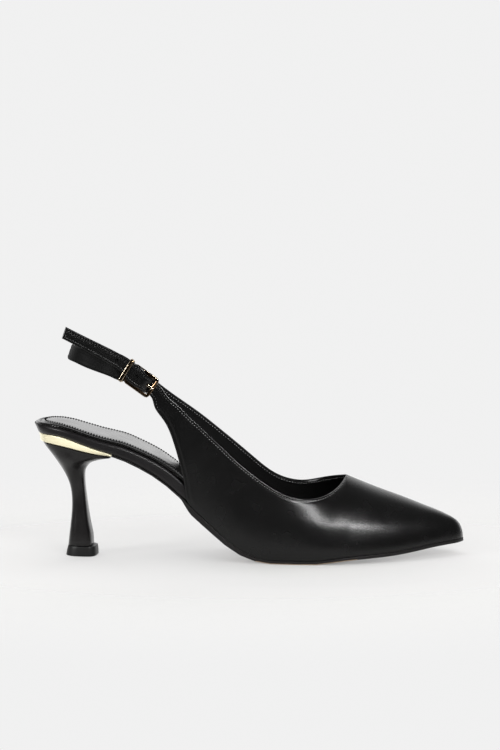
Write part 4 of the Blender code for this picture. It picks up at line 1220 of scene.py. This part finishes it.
class PUMP_OT_sock(bpy.types.Operator):
    """Make the padded sock lining with its stitched border"""
    bl_idname = "pump.sock"
    bl_label = "Sock lining"

    def execute(self, context):
        made = finishes()
        inset = UPPER_WALL + SEAM_GAP + 0.6 * SOCK_MARGIN
        outer_edge, inner_edge, start, end = plan_edges(inset)
        seat = np.linspace(0, 1, 26)[:-1] ** 2 * 0.008 + start
        stations = np.concatenate([
            seat, np.arange(start + 0.008, along(0.40), 0.0004),
            np.linspace(along(0.40), end - 0.006, 70),
            end - 0.006 * np.linspace(1, 0, 16)[1:] ** 2,
        ])
        steps = np.array([
            0.0, 0.06, 0.15, 0.3, 0.55, 0.9, 1.4, 1.8, 2.2, 2.5, 2.8, 3.1, 3.5, 4.1, 5.0, 6.2, 7.5,
        ]) / 1000
        rim = np.vstack([
            np.column_stack([stations, outer_edge(stations), np.zeros(len(stations))]),
            np.column_stack([stations, inner_edge(stations), np.zeros(len(stations))])[::-1],
        ])
        grid = []
        for x in stations:
            left = float(outer_edge(x))
            right = float(inner_edge(x))
            width = max(right - left, 0.00002)
            near = steps * min(1.0, 0.42 * width / steps[-1])
            middle = np.linspace(left + near[-1], right - near[-1], 13)[1:-1]
            across = np.concatenate([left + near, middle, right - near[::-1]])
            grid.append(np.column_stack([np.full(len(across), x), across, np.zeros(len(across))]))
        grid = np.array(grid)
        off = edge_distance(grid, [rim])
        relief = steady(column(SOCK_RELIEF, 0) / 1000, column(SOCK_RELIEF, 1) / 1000)
        pitch = context.scene.pump_stitching.pitch
        pucker = SOCK_PUCKER * np.exp(-((off - SOCK_SEAM) / 0.0011) ** 2)
        grid[:, :, 2] = sock_height(grid[:, :, 0]) + relief(off) + pucker * np.cos(
            2 * math.pi * grid[:, :, 0] / pitch)
        shape = grid_mesh(grid)
        if sum(face.normal.z for face in shape.faces) < 0:
            bmesh.ops.reverse_faces(shape, faces=shape.faces)
        bmesh.ops.remove_doubles(shape, verts=shape.verts, dist=0.000005)
        sock = make_object("sock_pad", shape, [made["leather_sock"]])
        add_wall(sock, 0.0004)
        settle(sock)
        finish_piece(sock, "sock_lining", "sock")
        seams = bmesh.new()
        settings = context.scene.pump_stitching
        for side, place in enumerate(SOCK_ROWS):
            curve = plan_curves(inset + place)[side]
            kept = curve[(curve[:, 0] < along(0.55))]
            points = np.column_stack([kept, sock_height(kept[:, 0]) + float(relief(place))])
            stitch_row(
                seams, points, np.tile([0.0, 0.0, 1.0], (len(points), 1)), settings, 0.4, 2.1)
        finish_seam("sock_seams", seams, "thread_sock", "sock_lining")
        return {"FINISHED"}


class PUMP_OT_sole(bpy.types.Operator):
    """Make the outsole, the covered insole board, the heel and its top piece"""
    bl_idname = "pump.sole"
    bl_label = "Sole and heel"

    def execute(self, context):
        made = finishes()
        sole = bevelled_node(
            "outsole", "outsole_rubber", [made["rubber_sole"], made["rubber_tread"]],
            0.0005, 3, 30.0)
        # Under the ball, the tan tread colour also goes up the edge's lower bevel. This is the
        # tread's own colour, carried up the edge as a painted reflection of the tread in the floor
        for polygon in sole.data.polygons:
            tan_reflection_band = along(0.53) < polygon.center.x < along(0.74)
            if polygon.normal.z < (-0.15 if tan_reflection_band else -0.80) and polygon.center.x > along(0.45):
                polygon.material_index = 1
        finish_piece(sole, "sole_rubber", "outsole")
        for node, name, material, slot, crease in (
            ("insole_board", "insole_band", "leather_band", "band_leather", 1.0),
            ("heel", "heel_body", "heel_satin", "heel_cover", 0.95),
            ("top_piece", "heel_lift", "rubber_lift", "lift_rubber", 0.95),
        ):
            finish_piece(smooth_node(node, name, [made[material]], crease), slot, node)
        return {"FINISHED"}


class PUMP_OT_metal(bpy.types.Operator):
    """Make the heel plate, the buckle's frame and prong, and the keeper"""
    bl_idname = "pump.metal"
    bl_label = "Metal"

    def execute(self, context):
        made = finishes()
        plate = bevelled_node(
            "heel_plate", "heel_plate_gold", [made["gold_plate"]], 0.00008, 2, 30.0,
            change=heel_set)
        finish_piece(plate, "pale_gold", "heel_plate")
        # Frame, keeper and prong: painted shade on their faces, a pale painted highlight on their
        # bevels
        for node, name, width in (
            ("buckle_frame", "buckle_frame_gold", 0.00034),
            ("keeper", "keeper_gold", 0.00026),
            ("prong", "prong_gold", 0.00022),
        ):
            piece = bevelled_node(
                node, name, [made["gold_buckle"], made["gold_edge"]], width, 2, 25.0, 1)
            finish_piece(piece, "buckle_gold", node)
        return {"FINISHED"}


class PUMP_OT_studio(bpy.types.Operator):
    """Make the floor, the lights, the surrounding and the camera"""
    bl_idname = "pump.studio"
    bl_label = "Studio"

    def execute(self, context):
        scene = context.scene
        settings = scene.pump_studio
        self.floor(settings)
        self.surrounding(scene, settings)
        self.lights(scene, settings)
        self.camera(scene, settings)
        scene.view_settings.view_transform = "Standard"
        return {"FINISHED"}

    def floor(self, settings):
        shape = bmesh.new()
        bmesh.ops.create_circle(shape, cap_ends=True, segments=96, radius=FLOOR_RADIUS)
        material, nodes, links, shader, place = new_material(
            "floor_paper", settings.floor, 0.9, specular=0.0)
        faded = []
        for spot, stretch, inside, outside, start, end in (FLOOR_FADE, SHADOW_FADE):
            distance = add_node(nodes, "ShaderNodeVectorMath", operation="LENGTH")
            moved = add_mapping(nodes, links, place, spot, (1.0, stretch, 1.0))
            links.new(moved, distance.inputs[0])
            faded.append(spread_to(
                nodes, links, distance.outputs["Value"], inside, outside, start, end,
                "SMOOTHSTEP"))
        # Painted light: for the camera, the floor lets the flat backdrop colour through, paling
        # its shadows except round the sole's contact
        rays = add_node(nodes, "ShaderNodeLightPath")
        seen = add_node(nodes, "ShaderNodeMix", data_type="FLOAT")
        links.new(rays.outputs["Is Camera Ray"], seen.inputs["Factor"])
        seen.inputs["A"].default_value = FLOOR_MIRRORED
        links.new(faded[1], seen.inputs["B"])
        both = add_node(nodes, "ShaderNodeMath", operation="MULTIPLY")
        links.new(faded[0], both.inputs[0])
        links.new(seen.outputs["Result"], both.inputs[1])
        links.new(both.outputs["Value"], shader.inputs["Alpha"])
        make_object("floor", shape, [material])

    def surrounding(self, scene, settings):
        """Even colour behind the shoe, with a darker room in front for the reflections."""
        world = bpy.data.worlds.new("studio")
        world.use_nodes = True
        scene.world = world
        nodes = world.node_tree.nodes
        links = world.node_tree.links
        back = nodes["Background"]
        back.inputs["Color"].default_value = settings.backdrop
        back.inputs["Strength"].default_value = 1.0
        room = add_node(nodes, "ShaderNodeBackground")
        split = add_node(nodes, "ShaderNodeSeparateXYZ")
        place = add_node(nodes, "ShaderNodeTexCoord").outputs["Generated"]
        links.new(place, split.inputs["Vector"])
        ramp = add_node(nodes, "ShaderNodeValToRGB")
        depth = spread_to(nodes, links, split.outputs["Y"], 0.0, 1.0, -1.0, 1.0)
        links.new(depth, ramp.inputs["Fac"])
        elements = ramp.color_ramp.elements
        elements.remove(elements[1])
        for i, (position, bright) in enumerate(ROOM):
            step = elements.new(position) if i else elements[0]
            step.color = (bright, bright, bright, 1)
        links.new(ramp.outputs["Color"], room.inputs["Color"])
        rays = add_node(nodes, "ShaderNodeLightPath")
        mix = add_node(nodes, "ShaderNodeMixShader")
        links.new(rays.outputs["Is Camera Ray"], mix.inputs["Fac"])
        links.new(room.outputs["Background"], mix.inputs[1])
        links.new(back.outputs["Background"], mix.inputs[2])
        links.new(mix.outputs["Shader"], nodes["World Output"].inputs["Surface"])

    def lights(self, scene, settings):
        for name, place, target, size, size_y, power, shines in LAMPS:
            lamp = bpy.data.lights.new(name, "AREA")
            lamp.shape = "RECTANGLE"
            lamp.size = size
            lamp.size_y = size_y
            lamp.energy = getattr(settings, power)
            obj = bpy.data.objects.new(name, lamp)
            obj.location = place
            aim = Vector(target) - Vector(place)
            obj.rotation_euler = aim.to_track_quat("-Z", "Y").to_euler()
            obj.visible_glossy = shines
            obj.visible_camera = False
            scene.collection.objects.link(obj)

    def camera(self, scene, settings):
        lens = bpy.data.cameras.new("camera")
        obj = bpy.data.objects.new("camera", lens)
        scene.collection.objects.link(obj)
        scene.camera = obj
        lens.sensor_width = 36.0
        lens.lens = settings.magnification * settings.distance * lens.sensor_width / PICTURE_HEIGHT
        lens.clip_start = 0.05
        lens.clip_end = 20.0
        turn = settings.elevation
        back = Vector((0.0, -math.cos(turn), math.sin(turn)))
        obj.location = Vector(AIM) + back * settings.distance
        obj.rotation_euler = (math.pi / 2 - turn, 0.0, 0.0)


class PUMP_PT_panel(bpy.types.Panel):
    """Lists the pump's settings and pieces"""
    bl_label = "Slingback pump"
    bl_idname = "PUMP_PT_panel"
    bl_space_type = "VIEW_3D"
    bl_region_type = "UI"
    bl_category = "Pump"

    def draw(self, context):
        layout = self.layout
        for group in ("pump_leather", "pump_stitching", "pump_metal", "pump_studio"):
            box = layout.box()
            settings = getattr(context.scene, group)
            for name in settings.bl_rna.properties.keys():
                if name not in ("rna_type", "name"):
                    box.prop(settings, name)
        for piece in PIECES:
            layout.operator(piece.bl_idname)


GROUPS = (
    ("pump_leather", PumpLeather),
    ("pump_stitching", PumpStitching),
    ("pump_metal", PumpMetal),
    ("pump_studio", PumpStudio),
)
PIECES = (
    PUMP_OT_upper,
    PUMP_OT_back_strap,
    PUMP_OT_sock,
    PUMP_OT_sole,
    PUMP_OT_metal,
    PUMP_OT_studio,
)


def register():
    for name, group in GROUPS:
        bpy.utils.register_class(group)
        setattr(bpy.types.Scene, name, PointerProperty(type=group))
    for piece in PIECES:
        bpy.utils.register_class(piece)
    bpy.utils.register_class(PUMP_PT_panel)


def unregister():
    bpy.utils.unregister_class(PUMP_PT_panel)
    for piece in reversed(PIECES):
        bpy.utils.unregister_class(piece)
    for name, group in reversed(GROUPS):
        delattr(bpy.types.Scene, name)
        bpy.utils.unregister_class(group)


def main():
    register()
    bpy.ops.pump.upper()
    bpy.ops.pump.back_strap()
    bpy.ops.pump.sock()
    bpy.ops.pump.sole()
    bpy.ops.pump.metal()
    bpy.ops.pump.studio()


if __name__ == "__main__":
    main()
